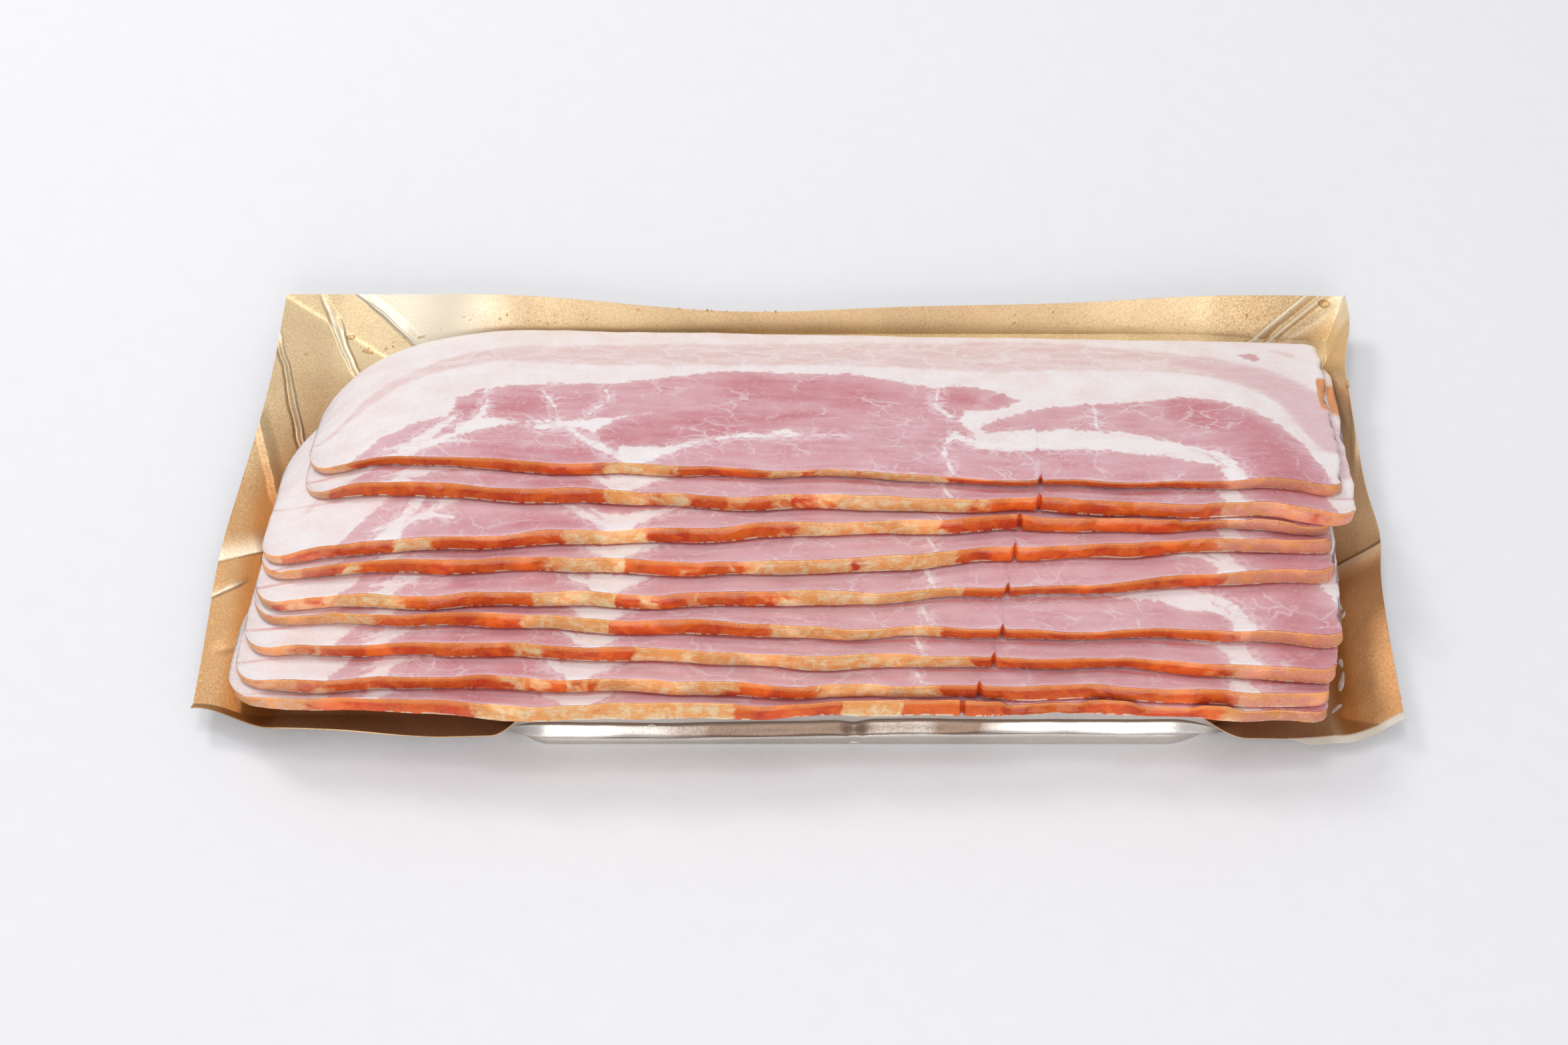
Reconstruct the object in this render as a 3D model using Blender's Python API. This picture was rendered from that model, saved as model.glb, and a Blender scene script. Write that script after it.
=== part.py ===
"""Opened pack of smoked streaky bacon.

Nine rashers lie shingled across a thin formed foil tray.  The lowest rasher
leans on the tray's front wall, each of the others lies a little further back
on the one beneath it, and the top one slopes down to the tray's floor.

Metres, +Z up.  X runs along the rashers, -Y is the front, and the tray
stands on z = 0 with the origin at the middle of its footprint.
"""

import bmesh
import bpy
import numpy as np

MM = 0.001

# ---- tray, in millimetres -------------------------------------------------
FOIL = 0.8                    # wall thickness of the solid tray
RIM_LEFT = -130.2             # left rim at the front
RIM_RIGHT = 126.2             # right rim at the middle
RIM_BACK = 54.2               # back rim at the middle
FOOT_FRONT = -60.0            # front and back edges of the floor, where those walls start
FOOT_BACK = 53.0
FRONT_FLARE = 6.5             # how much further back the front wall starts at its low ends
WALL_STATIONS = np.array((-60.0, -30.0, -5.0, 20.0, 50.0))    # y where the side walls' feet are set
FOOT_LEFT = (-111.0, -112.0, -111.0, -104.0, -96.0)           # x of the left wall's foot
FOOT_RIGHT = (111.0, 112.5, 116.0, 121.0, 125.4)              # and of the right wall's
FLANGE_SHARE = 0.45           # part of the left wall's width that rises to its flange
FLANGE_RISE = 0.86            # part of its height that the flange's inner edge has
SIDE_RISE = 6.0               # height of the side walls at their middle
BACK_RISE = 7.0
FRONT_LOW = 3.0               # front rim left of the rashers' rest
CORNER_RISE = 2.0             # how much further the back corners stand up
CORNER_CUT = 5.0              # how far the front corners are drawn back

CENTRE = np.array((-0.3, -1.7, 0.0))     # middle of the footprint, taken as origin

# ---- stack of rashers, in millimetres -------------------------------------
GAP = 0.35                    # clearance between neighbours
MEAT = 2.4                    # thickness of a rasher where others cover it
PITCH = 6.6                   # step from one rasher's back edge to the next
BACK_EDGE = 50.8              # back edge of the top rasher at x = 0
BACK_SKEW = -0.022            # that edge's turn, y per x
LEAN = 0.2035                 # slope of the lowest rasher, up to the front
CHAMFER = 0.6                 # worn upper arris along the front
UNDERCUT = 0.9                # how far the cut face's foot stands forward
ROUND_LONG = 46.0             # rounded back left corner, along the rasher
ROUND_DEEP = 40.0             # and across it
NOSE = 8.0                    # rounded front left corner
STUB = 3.0                    # small corners at the right end
SLANT = 6.0                   # the right end lies further out at the back

# Places along x where each rasher's front edge is set.
STATIONS = np.array((-110.0, -60.0, -5.0, 50.0, 107.0))

# From the top rasher down: left end, right end, thickness of the front lip,
# and the front edge's y at the five stations.
RASHERS = (
    (-110.5, 116.5, 2.5, (-3.9, -5.1, -7.7, -10.7, -10.2)),
    (-110.5, 118.5, 3.4, (-10.4, -12.3, -14.8, -15.5, -17.1)),
    (-117.0, 112.8, 3.4, (-28.3, -24.0, -21.2, -18.8, -18.9)),
    (-117.0, 113.6, 3.4, (-31.4, -29.2, -30.2, -25.3, -22.2)),
    (-117.5, 113.6, 3.4, (-38.5, -37.5, -37.1, -34.6, -29.1)),
    (-118.0, 112.5, 3.4, (-40.6, -41.8, -44.4, -45.2, -45.5)),
    (-119.3, 110.8, 3.4, (-47.8, -48.0, -50.7, -51.2, -54.1)),
    (-120.3, 108.4, 3.4, (-55.4, -55.3, -57.1, -57.3, -59.5)),
    (-122.0, 107.7, 4.4, (-58.1, -61.3, -60.7, -59.5, -61.8)),
)

STEP = MEAT + GAP
BED = FOIL + GAP              # height of the lowest underside
LOWEST = len(RASHERS) - 1


def ease(t):
    """Smooth step of t, from 0 at t <= 0 to 1 at t >= 1."""
    t = np.clip(t, 0.0, 1.0)
    return t * t * (3.0 - 2.0 * t)


def smooth_curve(stations, values, x):
    """Cubic curve through the values at the stations, read at x."""
    values = np.asarray(values, dtype=float)
    slopes = np.gradient(values, stations)
    cell = np.clip(np.searchsorted(stations, x) - 1, 0, len(stations) - 2)
    width = stations[cell + 1] - stations[cell]
    t = np.clip((x - stations[cell]) / width, -0.2, 1.2)
    start, end = values[cell], values[cell + 1]
    leave, arrive = slopes[cell] * width, slopes[cell + 1] * width
    return ((2 * t**3 - 3 * t**2 + 1) * start + (t**3 - 2 * t**2 + t) * leave
            + (3 * t**2 - 2 * t**3) * end + (t**3 - t**2) * arrive)


def corner(distance, along, across):
    """How far an elliptic corner draws an edge back near the rasher's end."""
    t = np.clip(1.0 - distance / along, 0.0, 1.0)
    return across * (1.0 - np.sqrt(1.0 - t * t))


# ---- rashers ----------------------------------------------------------------

def back_line(index, x):
    """Back edge of a rasher before its corners are rounded."""
    return BACK_EDGE + BACK_SKEW * x - PITCH * index


def front_line(index, x):
    """Front edge of a rasher before its corners are rounded."""
    ripple = 0.35 * np.sin(x / 7.3 + 0.8 * index) + 0.25 * np.sin(x / 3.9 + 1.7 * index)
    return smooth_curve(STATIONS, RASHERS[index][3], x) + ripple


def slump(x, y):
    """Share of its height that the stack keeps: its ends sink a little."""
    left = ease((-88.0 - x) / 34.0) * (0.10 + 0.24 * ease((y + 36.0) / 44.0))
    right = 0.14 * ease((x - 96.0) / 22.0)
    wave = 0.018 * np.sin(x / 17.0 + 0.6) * np.cos(y / 29.0)
    return 1.0 - left - right + wave


def underside(index, x, y):
    """Height of a rasher's underside: the layers beneath it, on the lean."""
    layers = np.clip((back_line(index, x) - y) / PITCH, 0.0, LOWEST - index)
    lean = LEAN * np.clip(back_line(LOWEST, x) - y, 0.0, None)
    return BED + slump(x, y) * (STEP * layers + lean)


def end_spacing(left, right):
    """Stations along a rasher, close together where its ends are round."""
    near_left = np.array((0.0, 0.7, 2.4, 5.4, 10.0, 17.0, 27.0, 40.0))
    near_right = np.array((12.0, 5.0, 1.6, 0.0))
    middle = np.linspace(left + 54.0, right - 22.0, 14)
    return np.concatenate((left + near_left, middle, right - near_right))


def rasher_surfaces(index):
    """Upper and lower grids of one rasher, each row running back to front."""
    left, right, lip, _ = RASHERS[index]
    x = end_spacing(left, right)
    back = (back_line(index, x) - corner(x - left, ROUND_LONG, ROUND_DEEP)
            - corner(right - x, STUB, STUB))
    front = (front_line(index, x) + corner(x - left, NOSE, NOSE)
             + corner(right - x, STUB, 0.5 * STUB))
    above = front_line(index - 1, x) - UNDERCUT - GAP if index else front + 2.0
    room = above - front
    shown = np.clip(room, CHAMFER + 0.1, 9.0)
    knee = np.clip(back_line(LOWEST, x), front + shown + 1.0, None)
    knee = np.where(knee > back - 2.0, 0.5 * (back + front + shown), knee)

    ladder = [back, back + 0.5 * (knee - back), knee,
              knee + 0.5 * (front + shown - knee), front + shown,
              front + CHAMFER, front]
    y = np.stack(ladder, axis=1)
    x = np.repeat(x[:, None], y.shape[1], axis=1)
    share = np.clip((y - front[:, None]) / (back - front)[:, None], 0.0, 1.0)
    along = ((x - left) / (right - left)) ** 6
    x = x + SLANT * share * along

    thick = MEAT * slump(x, y)
    thick[:, -2] = MEAT + (lip - MEAT) * ease((room - CHAMFER) / 0.4)
    thick[:, -1] = thick[:, -2] - CHAMFER
    thick[:, 0] *= 0.8
    bottom_y = y.copy()
    bottom_y[:, -1] -= UNDERCUT
    bottom_y[:, -2] -= 0.5 * UNDERCUT
    top = np.stack((x, y, underside(index, x, y) + thick), axis=2)
    bottom = np.stack((x, bottom_y, underside(index, x, bottom_y)), axis=2)
    return top, bottom


# ---- tray ------------------------------------------------------------------

def held_share(x):
    """1 where the front wall stands up to the lowest rasher, 0 towards both ends."""
    return ease((x + 67.0) / 12.0) * ease((93.0 - x) / 17.0)


def front_rise(x):
    """Rise of the front rim: up to the lowest rasher, low towards both ends."""
    rest = underside(LOWEST, x, np.full_like(x, FOOT_FRONT + 0.9)) - GAP - FOIL
    left = FRONT_LOW + 3.0 * ease((-76.0 - x) / 26.0)
    right = 1.6 + 4.0 * ease((x - 100.0) / 24.0)
    low = np.where(x < 0.0, left, right)
    return low + (rest - low) * held_share(x)


def tray_sheet():
    """Inner face of the tray, a grid of points from left to right and front to back."""
    wall = np.array((1.0, FLANGE_SHARE, 0.12))
    floor_x = np.linspace(0.0, 1.0, 27)
    floor_y = np.linspace(0.0, 1.0, 6)
    to_left = np.concatenate((wall, 0.0 * floor_x, 0.0 * wall))
    to_right = np.concatenate((0.0 * wall, 0.0 * floor_x, wall[::-1]))
    to_front = np.concatenate((wall, 0.0 * floor_y, 0.0 * wall))
    to_back = np.concatenate((0.0 * wall, 0.0 * floor_y, wall[::-1]))
    run_x = np.concatenate((0.0 * wall, floor_x, 0.0 * wall + 1.0))
    run_y = np.concatenate((0.0 * wall, floor_y, 0.0 * wall + 1.0))
    run_x, run_y = np.meshgrid(run_x, run_y, indexing="ij")
    to_left, to_front = np.meshgrid(to_left, to_front, indexing="ij")
    to_right, to_back = np.meshgrid(to_right, to_back, indexing="ij")

    plain_y = FOOT_FRONT + run_y * (FOOT_BACK - FOOT_FRONT)
    foot_left = smooth_curve(WALL_STATIONS, FOOT_LEFT, plain_y)
    foot_right = smooth_curve(WALL_STATIONS, FOOT_RIGHT, plain_y)
    plain_x = foot_left + run_x * (foot_right - foot_left)
    foot_back = (FOOT_BACK - 13.0 * ease((-70.0 - plain_x) / 32.0)
                 - 2.0 * ease((plain_x - 90.0) / 30.0))
    foot_front = FOOT_FRONT + FRONT_FLARE * (1.0 - held_share(plain_x))
    to_corner = ease(np.abs(plain_x) / 100.0)
    at_back = ease(plain_y / FOOT_BACK)
    at_front = ease(-plain_y / 50.0)

    rim_left = RIM_LEFT + 5.6 * ease((plain_y + 25.0) / 80.0)
    flare = 3.2 * ease((plain_y - 34.0) / 20.0)
    kink = 1.4 * np.exp(-((plain_y + 14.0) / 9.0) ** 2)
    rim_right = RIM_RIGHT + flare + kink - 0.6 * at_front
    spread = np.where(plain_x < 0.0, 4.6, 3.4)
    rim_back = RIM_BACK + spread * to_corner + 0.3 * np.sin(plain_x / 13.0)
    rim_front = FOOT_FRONT - 0.4 + 1.8 * held_share(plain_x) + 0.3 * np.sin(plain_x / 11.0)

    x = plain_x + to_left * (rim_left - foot_left) + to_right * (rim_right - foot_right)
    y = foot_front + run_y * (foot_back - foot_front)
    y = y + to_front * (rim_front - foot_front) + to_back * (rim_back - foot_back)
    y = y + CORNER_CUT * ease((np.abs(x) - 112.0) / 17.0) * ease((-30.0 - y) / 28.0)

    side = SIDE_RISE + CORNER_RISE * at_back - 1.4 * at_front
    back_wall = BACK_RISE + 1.2 * to_corner + 0.4 * np.sin(plain_x / 15.0)
    front_wall = front_rise(plain_x.ravel()).reshape(plain_x.shape)
    flange = np.minimum(FLANGE_RISE * to_left / FLANGE_SHARE,
                        1.0 - (1.0 - FLANGE_RISE) * (1.0 - to_left) / (1.0 - FLANGE_SHARE))
    left_lift = flange + (to_left - flange) * ease((plain_y + 5.0) / 40.0)
    z = np.maximum.reduce((left_lift * side, to_right ** 1.25 * (side + 1.0),
                           to_back * back_wall, to_front * front_wall))
    return np.stack((x, y, FOIL + z), axis=2)


def outer_face(sheet):
    """The sheet set off outwards by its thickness, flat on z = 0 below."""
    along = np.gradient(sheet, axis=0)
    across = np.gradient(sheet, axis=1)
    normal = np.cross(along, across)
    normal /= np.linalg.norm(normal, axis=2, keepdims=True)
    outer = sheet - FOIL * normal
    flat = sheet[..., 2] < FOIL + 1e-6
    outer[flat, 2] = 0.0
    outer[..., 2] = np.maximum(outer[..., 2], 0.0)
    return outer


# ---- objects ----------------------------------------------------------------

def material(name, colour, roughness, metallic):
    """Principled material in one colour."""
    made = bpy.data.materials.new(name)
    made.use_nodes = True
    shader = made.node_tree.nodes["Principled BSDF"]
    shader.inputs["Base Color"].default_value = (*colour, 1.0)
    shader.inputs["Roughness"].default_value = roughness
    shader.inputs["Metallic"].default_value = metallic
    return made


def closed_shell(name, top, bottom, finish):
    """Solid between two grids of the same size, joined round their borders."""
    columns, rows = top.shape[:2]
    mesh = bmesh.new()
    upper = [[mesh.verts.new((point - CENTRE) * MM) for point in line] for line in top]
    lower = [[mesh.verts.new((point - CENTRE) * MM) for point in line] for line in bottom]
    for i in range(columns - 1):
        for j in range(rows - 1):
            mesh.faces.new((upper[i][j], upper[i + 1][j], upper[i + 1][j + 1], upper[i][j + 1]))
            mesh.faces.new((lower[i][j], lower[i][j + 1], lower[i + 1][j + 1], lower[i + 1][j]))
    for i in range(columns - 1):
        for j in (0, rows - 1):
            mesh.faces.new((upper[i][j], lower[i][j], lower[i + 1][j], upper[i + 1][j]))
    for j in range(rows - 1):
        for i in (0, columns - 1):
            mesh.faces.new((upper[i][j], upper[i][j + 1], lower[i][j + 1], lower[i][j]))
    bmesh.ops.recalc_face_normals(mesh, faces=mesh.faces)
    data = bpy.data.meshes.new(name)
    mesh.to_mesh(data)
    mesh.free()
    data.materials.append(finish)
    data.shade_smooth()
    data.set_sharp_from_angle(angle=np.radians(38.0))
    made = bpy.data.objects.new(name, data)
    bpy.context.collection.objects.link(made)
    return made


def main():
    """Clear the scene and build the tray and its rashers."""
    for old in list(bpy.data.objects):
        bpy.data.objects.remove(old, do_unlink=True)
    gold = material("gold foil", (0.60, 0.41, 0.18), 0.35, 0.9)
    meat = material("smoked bacon", (0.69, 0.34, 0.36), 0.35, 0.0)
    sheet = tray_sheet()
    closed_shell("foil_tray", sheet, outer_face(sheet), gold)
    for index in range(len(RASHERS)):
        top, bottom = rasher_surfaces(index)
        closed_shell(f"rasher_{index + 1}", top, bottom, meat)


main()
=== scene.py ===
"""Looks of an opened pack of smoked streaky bacon.

Nine rashers lie shingled across a thin formed tray of gilt foil.  Each rasher
is one closed surface worked out on a grid, with the lie of its lean and fat
kept as attributes of its points; the tray is one thin folded sheet, gilt
inside and bare outside.  Sizes are in millimetres, in the drawing's own axes:
X runs along the rashers, -Y is the front, +Z is up.
"""

import logging
from dataclasses import dataclass
from enum import Enum
from math import cos, radians, sin
from typing import Sequence, Union

import bmesh
import bpy
import numpy as np
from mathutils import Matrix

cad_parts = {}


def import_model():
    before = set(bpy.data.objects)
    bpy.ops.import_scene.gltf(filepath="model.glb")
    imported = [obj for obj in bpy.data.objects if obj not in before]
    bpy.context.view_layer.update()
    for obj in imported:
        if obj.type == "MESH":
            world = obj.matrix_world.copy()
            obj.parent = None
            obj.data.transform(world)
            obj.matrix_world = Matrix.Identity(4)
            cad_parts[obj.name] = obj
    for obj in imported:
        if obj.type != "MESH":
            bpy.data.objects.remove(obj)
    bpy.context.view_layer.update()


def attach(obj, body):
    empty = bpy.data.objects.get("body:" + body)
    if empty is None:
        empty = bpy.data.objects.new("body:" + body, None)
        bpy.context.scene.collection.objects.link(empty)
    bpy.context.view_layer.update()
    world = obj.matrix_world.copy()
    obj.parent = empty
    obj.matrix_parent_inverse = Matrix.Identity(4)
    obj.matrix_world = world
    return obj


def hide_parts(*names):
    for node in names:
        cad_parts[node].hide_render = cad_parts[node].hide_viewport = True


Array = np.ndarray
Knots = tuple[tuple[float, float, float], ...]
Colour = tuple[float, float, float]

MM = 0.001
ORIGIN = np.array((-0.3, -1.7, 0.0))      # the drawing's point that stands at the world's origin
BODY = "root"

log = logging.getLogger("bacon_pack")


# ---- curves and fields --------------------------------------------------------


def ease(t: Array) -> Array:
    """Smooth step of t, from 0 at t <= 0 to 1 at t >= 1."""
    t = np.clip(t, 0.0, 1.0)
    return t * t * (3.0 - 2.0 * t)


def ramp(x: Array, start: float, end: float) -> Array:
    """Smooth step of x, from 0 at start to 1 at end, which may lie below start."""
    return ease((x - start) / (end - start))


def smooth_curve(stations: Array, values: Sequence[float], x: Array) -> Array:
    """Cubic curve through values at stations, carried on a little past both ends.

    Each cell is a Hermite cubic whose end slopes are the values' own gradients.

    Args:
        stations: rising places of the values.
        values: what the curve passes through.
        x: where the curve is read.

    Returns:
        The curve's value at each x.
    """
    heights = np.asarray(values, dtype=float)
    slopes = np.gradient(heights, stations)
    cell = np.clip(np.searchsorted(stations, x) - 1, 0, len(stations) - 2)
    width = stations[cell + 1] - stations[cell]
    t = np.clip((x - stations[cell]) / width, -0.2, 1.2)
    leave, arrive = slopes[cell] * width, slopes[cell + 1] * width
    return ((2 * t**3 - 3 * t**2 + 1) * heights[cell] + (t**3 - 2 * t**2 + t) * leave
            + (3 * t**2 - 2 * t**3) * heights[cell + 1] + (t**3 - t**2) * arrive)


def corner(distance: Array, along: float, across: float) -> Array:
    """How far an elliptic corner draws an edge back.

    Across times one less the square root of one less t squared, where t falls
    from 1 at the end to 0 where the corner begins.

    Args:
        distance: how far from the end a place is.
        along: the corner's reach along the edge.
        across: its reach across it.

    Returns:
        How far the edge is drawn back at each place.
    """
    t = np.clip(1.0 - distance / along, 0.0, 1.0)
    return across * (1.0 - np.sqrt(1.0 - t * t))


def waver(x: Array, seed: float, pitch: float) -> Array:
    """Uneven wave between about -1 and 1: three sines whose pitches share no beat.

    Args:
        x: where the wave is read.
        seed: what sets this wave apart from the others.
        pitch: millimetres for each radian of the slowest sine.

    Returns:
        The wave at each x.
    """
    phase = seed * 2.399963
    return (0.5 * np.sin(x / pitch + phase) + 0.3 * np.sin(x / (0.47 * pitch) + 2.3 * phase)
            + 0.2 * np.sin(x / (0.23 * pitch) + 4.1 * phase))


def smooth_path(knots: Knots, steps: int = 6) -> Array:
    """Points along a Catmull-Rom curve through the knots, radius and all.

    Args:
        knots: (x, y, radius) of each knot.
        steps: how many points each span gets.

    Returns:
        The curve's points, one row each.
    """
    given = np.asarray(knots, dtype=float)
    ends = np.vstack((2 * given[0] - given[1], given, 2 * given[-1] - given[-2]))
    t = np.linspace(0.0, 1.0, steps, endpoint=False)[:, None]
    spans = []
    for a, b, c, d in zip(ends[:-3], ends[1:-2], ends[2:-1], ends[3:]):
        spans.append(0.5 * (2 * b + (c - a) * t + (2 * a - 5 * b + 4 * c - d) * t**2
                            + (3 * b - a - 3 * c + d) * t**3))
    return np.vstack((*spans, given[-1:]))


def ribbon_depth(x: Array, y: Array, knots: Knots) -> Array:
    """Depth inside a ribbon of varying width swept along a smooth path.

    For each short stretch of the path this is the radius at the nearest point
    less the distance to it, and the ribbon is the greatest over all stretches.

    Args:
        x: first coordinate of the points that are measured.
        y: their second coordinate.
        knots: (x, y, radius) of each knot of the path.

    Returns:
        Millimetres inside the ribbon, negative outside it.
    """
    path = smooth_path(knots)
    depth = np.full(x.shape, OUTSIDE)
    for start, end in zip(path[:-1], path[1:]):
        run = end[:2] - start[:2]
        t = ((x - start[0]) * run[0] + (y - start[1]) * run[1]) / max(float(run @ run), 1e-9)
        t = np.clip(t, 0.0, 1.0)
        away = np.hypot(x - start[0] - t * run[0], y - start[1] - t * run[1])
        depth = np.maximum(depth, start[2] + t * (end[2] - start[2]) - away)
    return depth


# ---- meshes ---------------------------------------------------------------------


def make_object(name: str, points: Array, faces: list[list[int]]) -> bpy.types.Object:
    """Object whose mesh has these points, given in the drawing's millimetres.

    Args:
        name: the piece's name.
        points: one row of x, y, z for each vertex.
        faces: vertex numbers round each face.

    Returns:
        The object, at the origin, with its place in its mesh.
    """
    mesh = bpy.data.meshes.new(name)
    mesh.from_pydata(((points - ORIGIN) * MM).tolist(), [], faces)
    mesh.update()
    made = bpy.data.objects.new(name, mesh)
    bpy.context.scene.collection.objects.link(made)
    return made


def grid_faces(rows: int, columns: int, first: int = 0, wrap: bool = False) -> Array:
    """Quads over a grid of rows x columns points, stored row after row.

    Args:
        rows: how many rows of points.
        columns: how many points in each row.
        first: number of the grid's first point.
        wrap: joins the last column to the first.

    Returns:
        Four vertex numbers for each quad.
    """
    i = np.arange(rows - 1)[:, None]
    j = np.arange(columns if wrap else columns - 1)[None, :]
    k = (j + 1) % columns
    corners = (i * columns + j, (i + 1) * columns + j, (i + 1) * columns + k, i * columns + k)
    return first + np.stack(corners, axis=-1).reshape(-1, 4)


def face_outwards(made: bpy.types.Object) -> None:
    """Turns every face of a closed mesh outwards.

    Args:
        made: the object whose mesh is put right.
    """
    work = bmesh.new()
    work.from_mesh(made.data)
    bmesh.ops.recalc_face_normals(work, faces=work.faces)
    work.to_mesh(made.data)
    work.free()


def give_uv(made: bpy.types.Object, name: str, uv: Array) -> None:
    """Adds a UV map that holds one pair of numbers for each vertex.

    Args:
        made: the object whose mesh gets the map.
        name: the map's name.
        uv: one row for each vertex.
    """
    mesh = made.data
    numbers = np.empty(len(mesh.loops), dtype=np.int32)
    mesh.loops.foreach_get("vertex_index", numbers)
    layer = mesh.uv_layers.new(name=name)
    layer.data.foreach_set("uv", uv[numbers].astype(np.float32).ravel())


def give_field(made: bpy.types.Object, name: str, four: Array) -> None:
    """Adds a colour attribute that holds four fields for each vertex.

    Args:
        made: the object whose mesh gets the attribute.
        name: the attribute's name.
        four: one row for each vertex, with values from 0 to 1.
    """
    layer = made.data.attributes.new(name, "FLOAT_COLOR", "POINT")
    layer.data.foreach_set("color", np.clip(four, 0.0, 1.0).astype(np.float32).ravel())


def report(made: bpy.types.Object) -> None:
    """Logs a piece's name and how many faces it has."""
    log.info("%s: %d faces", made.name, len(made.data.polygons))


# ---- shader maths ---------------------------------------------------------------

Number = Union[float, "Wire"]


@dataclass(frozen=True)
class Wire:
    """One output of a node, with the usual operators for numbers."""

    bench: "Bench"
    socket: bpy.types.NodeSocket

    def __add__(self, other: Number) -> "Wire":
        """Sum."""
        return self.bench.maths("ADD", self, other)

    def __sub__(self, other: Number) -> "Wire":
        """Difference."""
        return self.bench.maths("SUBTRACT", self, other)

    def __mul__(self, other: Number) -> "Wire":
        """Product."""
        return self.bench.maths("MULTIPLY", self, other)

    def __truediv__(self, other: Number) -> "Wire":
        """Quotient."""
        return self.bench.maths("DIVIDE", self, other)

    def __rsub__(self, other: float) -> "Wire":
        """A number less this value."""
        return self.bench.maths("SUBTRACT", other, self)

    def __rtruediv__(self, other: float) -> "Wire":
        """A number over this value."""
        return self.bench.maths("DIVIDE", other, self)

    __radd__ = __add__
    __rmul__ = __mul__


class Bench:
    """Builds one material's nodes."""

    def __init__(self, name: str) -> None:
        """Starts a material with an empty tree and its output.

        Args:
            name: the material's name.
        """
        self.material = bpy.data.materials.new(name)
        self.material.use_nodes = True
        self.tree = self.material.node_tree
        self.tree.nodes.clear()
        self.output = self.tree.nodes.new("ShaderNodeOutputMaterial")

    def node(self, kind: str, settings: dict | None = None,
             inputs: dict | None = None) -> bpy.types.Node:
        """Adds a node.

        Args:
            kind: the node's type.
            settings: its properties, which are set first.
            inputs: values or wires of its sockets, by name or by number.

        Returns:
            The node.
        """
        made = self.tree.nodes.new(kind)
        for key, value in (settings or {}).items():
            setattr(made, key, value)
        for key, value in (inputs or {}).items():
            if isinstance(value, Wire):
                self.tree.links.new(value.socket, made.inputs[key])
            else:
                made.inputs[key].default_value = value
        return made

    def wire(self, node: bpy.types.Node, output: str | int = 0) -> Wire:
        """An output of a node as a wire."""
        return Wire(self, node.outputs[output])

    def maths(self, operation: str, *values: Number) -> Wire:
        """Result of a Math node."""
        return self.wire(self.node("ShaderNodeMath", {"operation": operation},
                                   dict(enumerate(values))))

    def vector(self, operation: str, *values: Union[Wire, tuple]) -> Wire:
        """Result of a Vector Math node."""
        return self.wire(self.node("ShaderNodeVectorMath", {"operation": operation},
                                   dict(enumerate(values))))

    def step(self, value: Number, low: Number, high: Number) -> Wire:
        """Smooth step of a value, 0 at low and 1 at high, which may lie below low."""
        return self.wire(self.node("ShaderNodeMapRange", {"interpolation_type": "SMOOTHSTEP"},
                                   {0: value, 1: low, 2: high}))

    def mix(self, share: Number, first: Union[Wire, Colour], second: Union[Wire, Colour]) -> Wire:
        """Colour between two.

        Args:
            share: how much of the second, from 0 to 1.
            first: the one at 0.
            second: the one at 1.

        Returns:
            The colour.
        """
        pair = [c if isinstance(c, Wire) else (*c, 1.0) for c in (first, second)]
        return self.wire(self.node("ShaderNodeMix", {"data_type": "RGBA"},
                                   {0: share, 6: pair[0], 7: pair[1]}), 2)

    def noise(self, place: Wire, scale: float, detail: float = 2.0, rough: float = 0.5) -> Wire:
        """Noise from 0 to 1, about 0.5 on average.

        Args:
            place: where it is read.
            scale: how many waves it has for each unit of place.
            detail: how many finer noises are laid on it.
            rough: how strong they are.

        Returns:
            The noise.
        """
        return self.wire(self.node("ShaderNodeTexNoise", {"noise_dimensions": "3D"},
                                   {"Vector": place, "Scale": scale, "Detail": detail,
                                    "Roughness": rough}))

    def cell_edge(self, place: Wire, scale: float) -> Wire:
        """Distance to the nearest border between Voronoi cells, in cells."""
        return self.wire(self.node("ShaderNodeTexVoronoi", {"feature": "DISTANCE_TO_EDGE"},
                                   {"Vector": place, "Scale": scale}))

    def stretched(self, place: Wire, along: float, across: float) -> Wire:
        """A place scaled by its own factor each way."""
        return self.vector("MULTIPLY", place, (along, across, 1.0))

    def own_place(self) -> Wire:
        """The object's own coordinates, in metres."""
        return self.wire(self.node("ShaderNodeTexCoord"), "Object")

    def fields(self, name: str) -> tuple[Wire, Wire, Wire, Wire]:
        """The four fields of a colour attribute.

        Args:
            name: the attribute's name.

        Returns:
            A wire for each field.
        """
        held = self.node("ShaderNodeAttribute", {"attribute_name": name})
        parts = self.node("ShaderNodeSeparateColor", None, {0: self.wire(held, "Color")})
        return (self.wire(parts, 0), self.wire(parts, 1), self.wire(parts, 2),
                self.wire(held, "Alpha"))

    def bump(self, height: Wire, distance: float, strength: float = 1.0) -> Wire:
        """Normal of a surface raised by a height.

        Args:
            height: how high each point is raised.
            distance: metres that a height of 1 means.
            strength: share of the relief that shows.

        Returns:
            The normal.
        """
        return self.wire(self.node("ShaderNodeBump", None,
                                   {"Height": height, "Distance": distance,
                                    "Strength": strength}))

    def finish(self, inputs: dict) -> bpy.types.Material:
        """Ends the tree with a Principled shader.

        Args:
            inputs: values or wires of its sockets, by name.

        Returns:
            The finished material.
        """
        shader = self.node("ShaderNodeBsdfPrincipled", None, inputs)
        self.tree.links.new(shader.outputs[0], self.output.inputs["Surface"])
        return self.material


def tint(red: int, green: int, blue: int) -> Colour:
    """Linear colour of three display values.

    Args:
        red: from 0 to 255, as the other two.
        green: its green.
        blue: its blue.

    Returns:
        Red, green and blue as the shader takes them.
    """
    shown = np.array((red, green, blue)) / 255.0
    linear = np.where(shown <= 0.04045, shown / 12.92, ((shown + 0.055) / 1.055) ** 2.4)
    return tuple(float(part) for part in linear)


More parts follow.
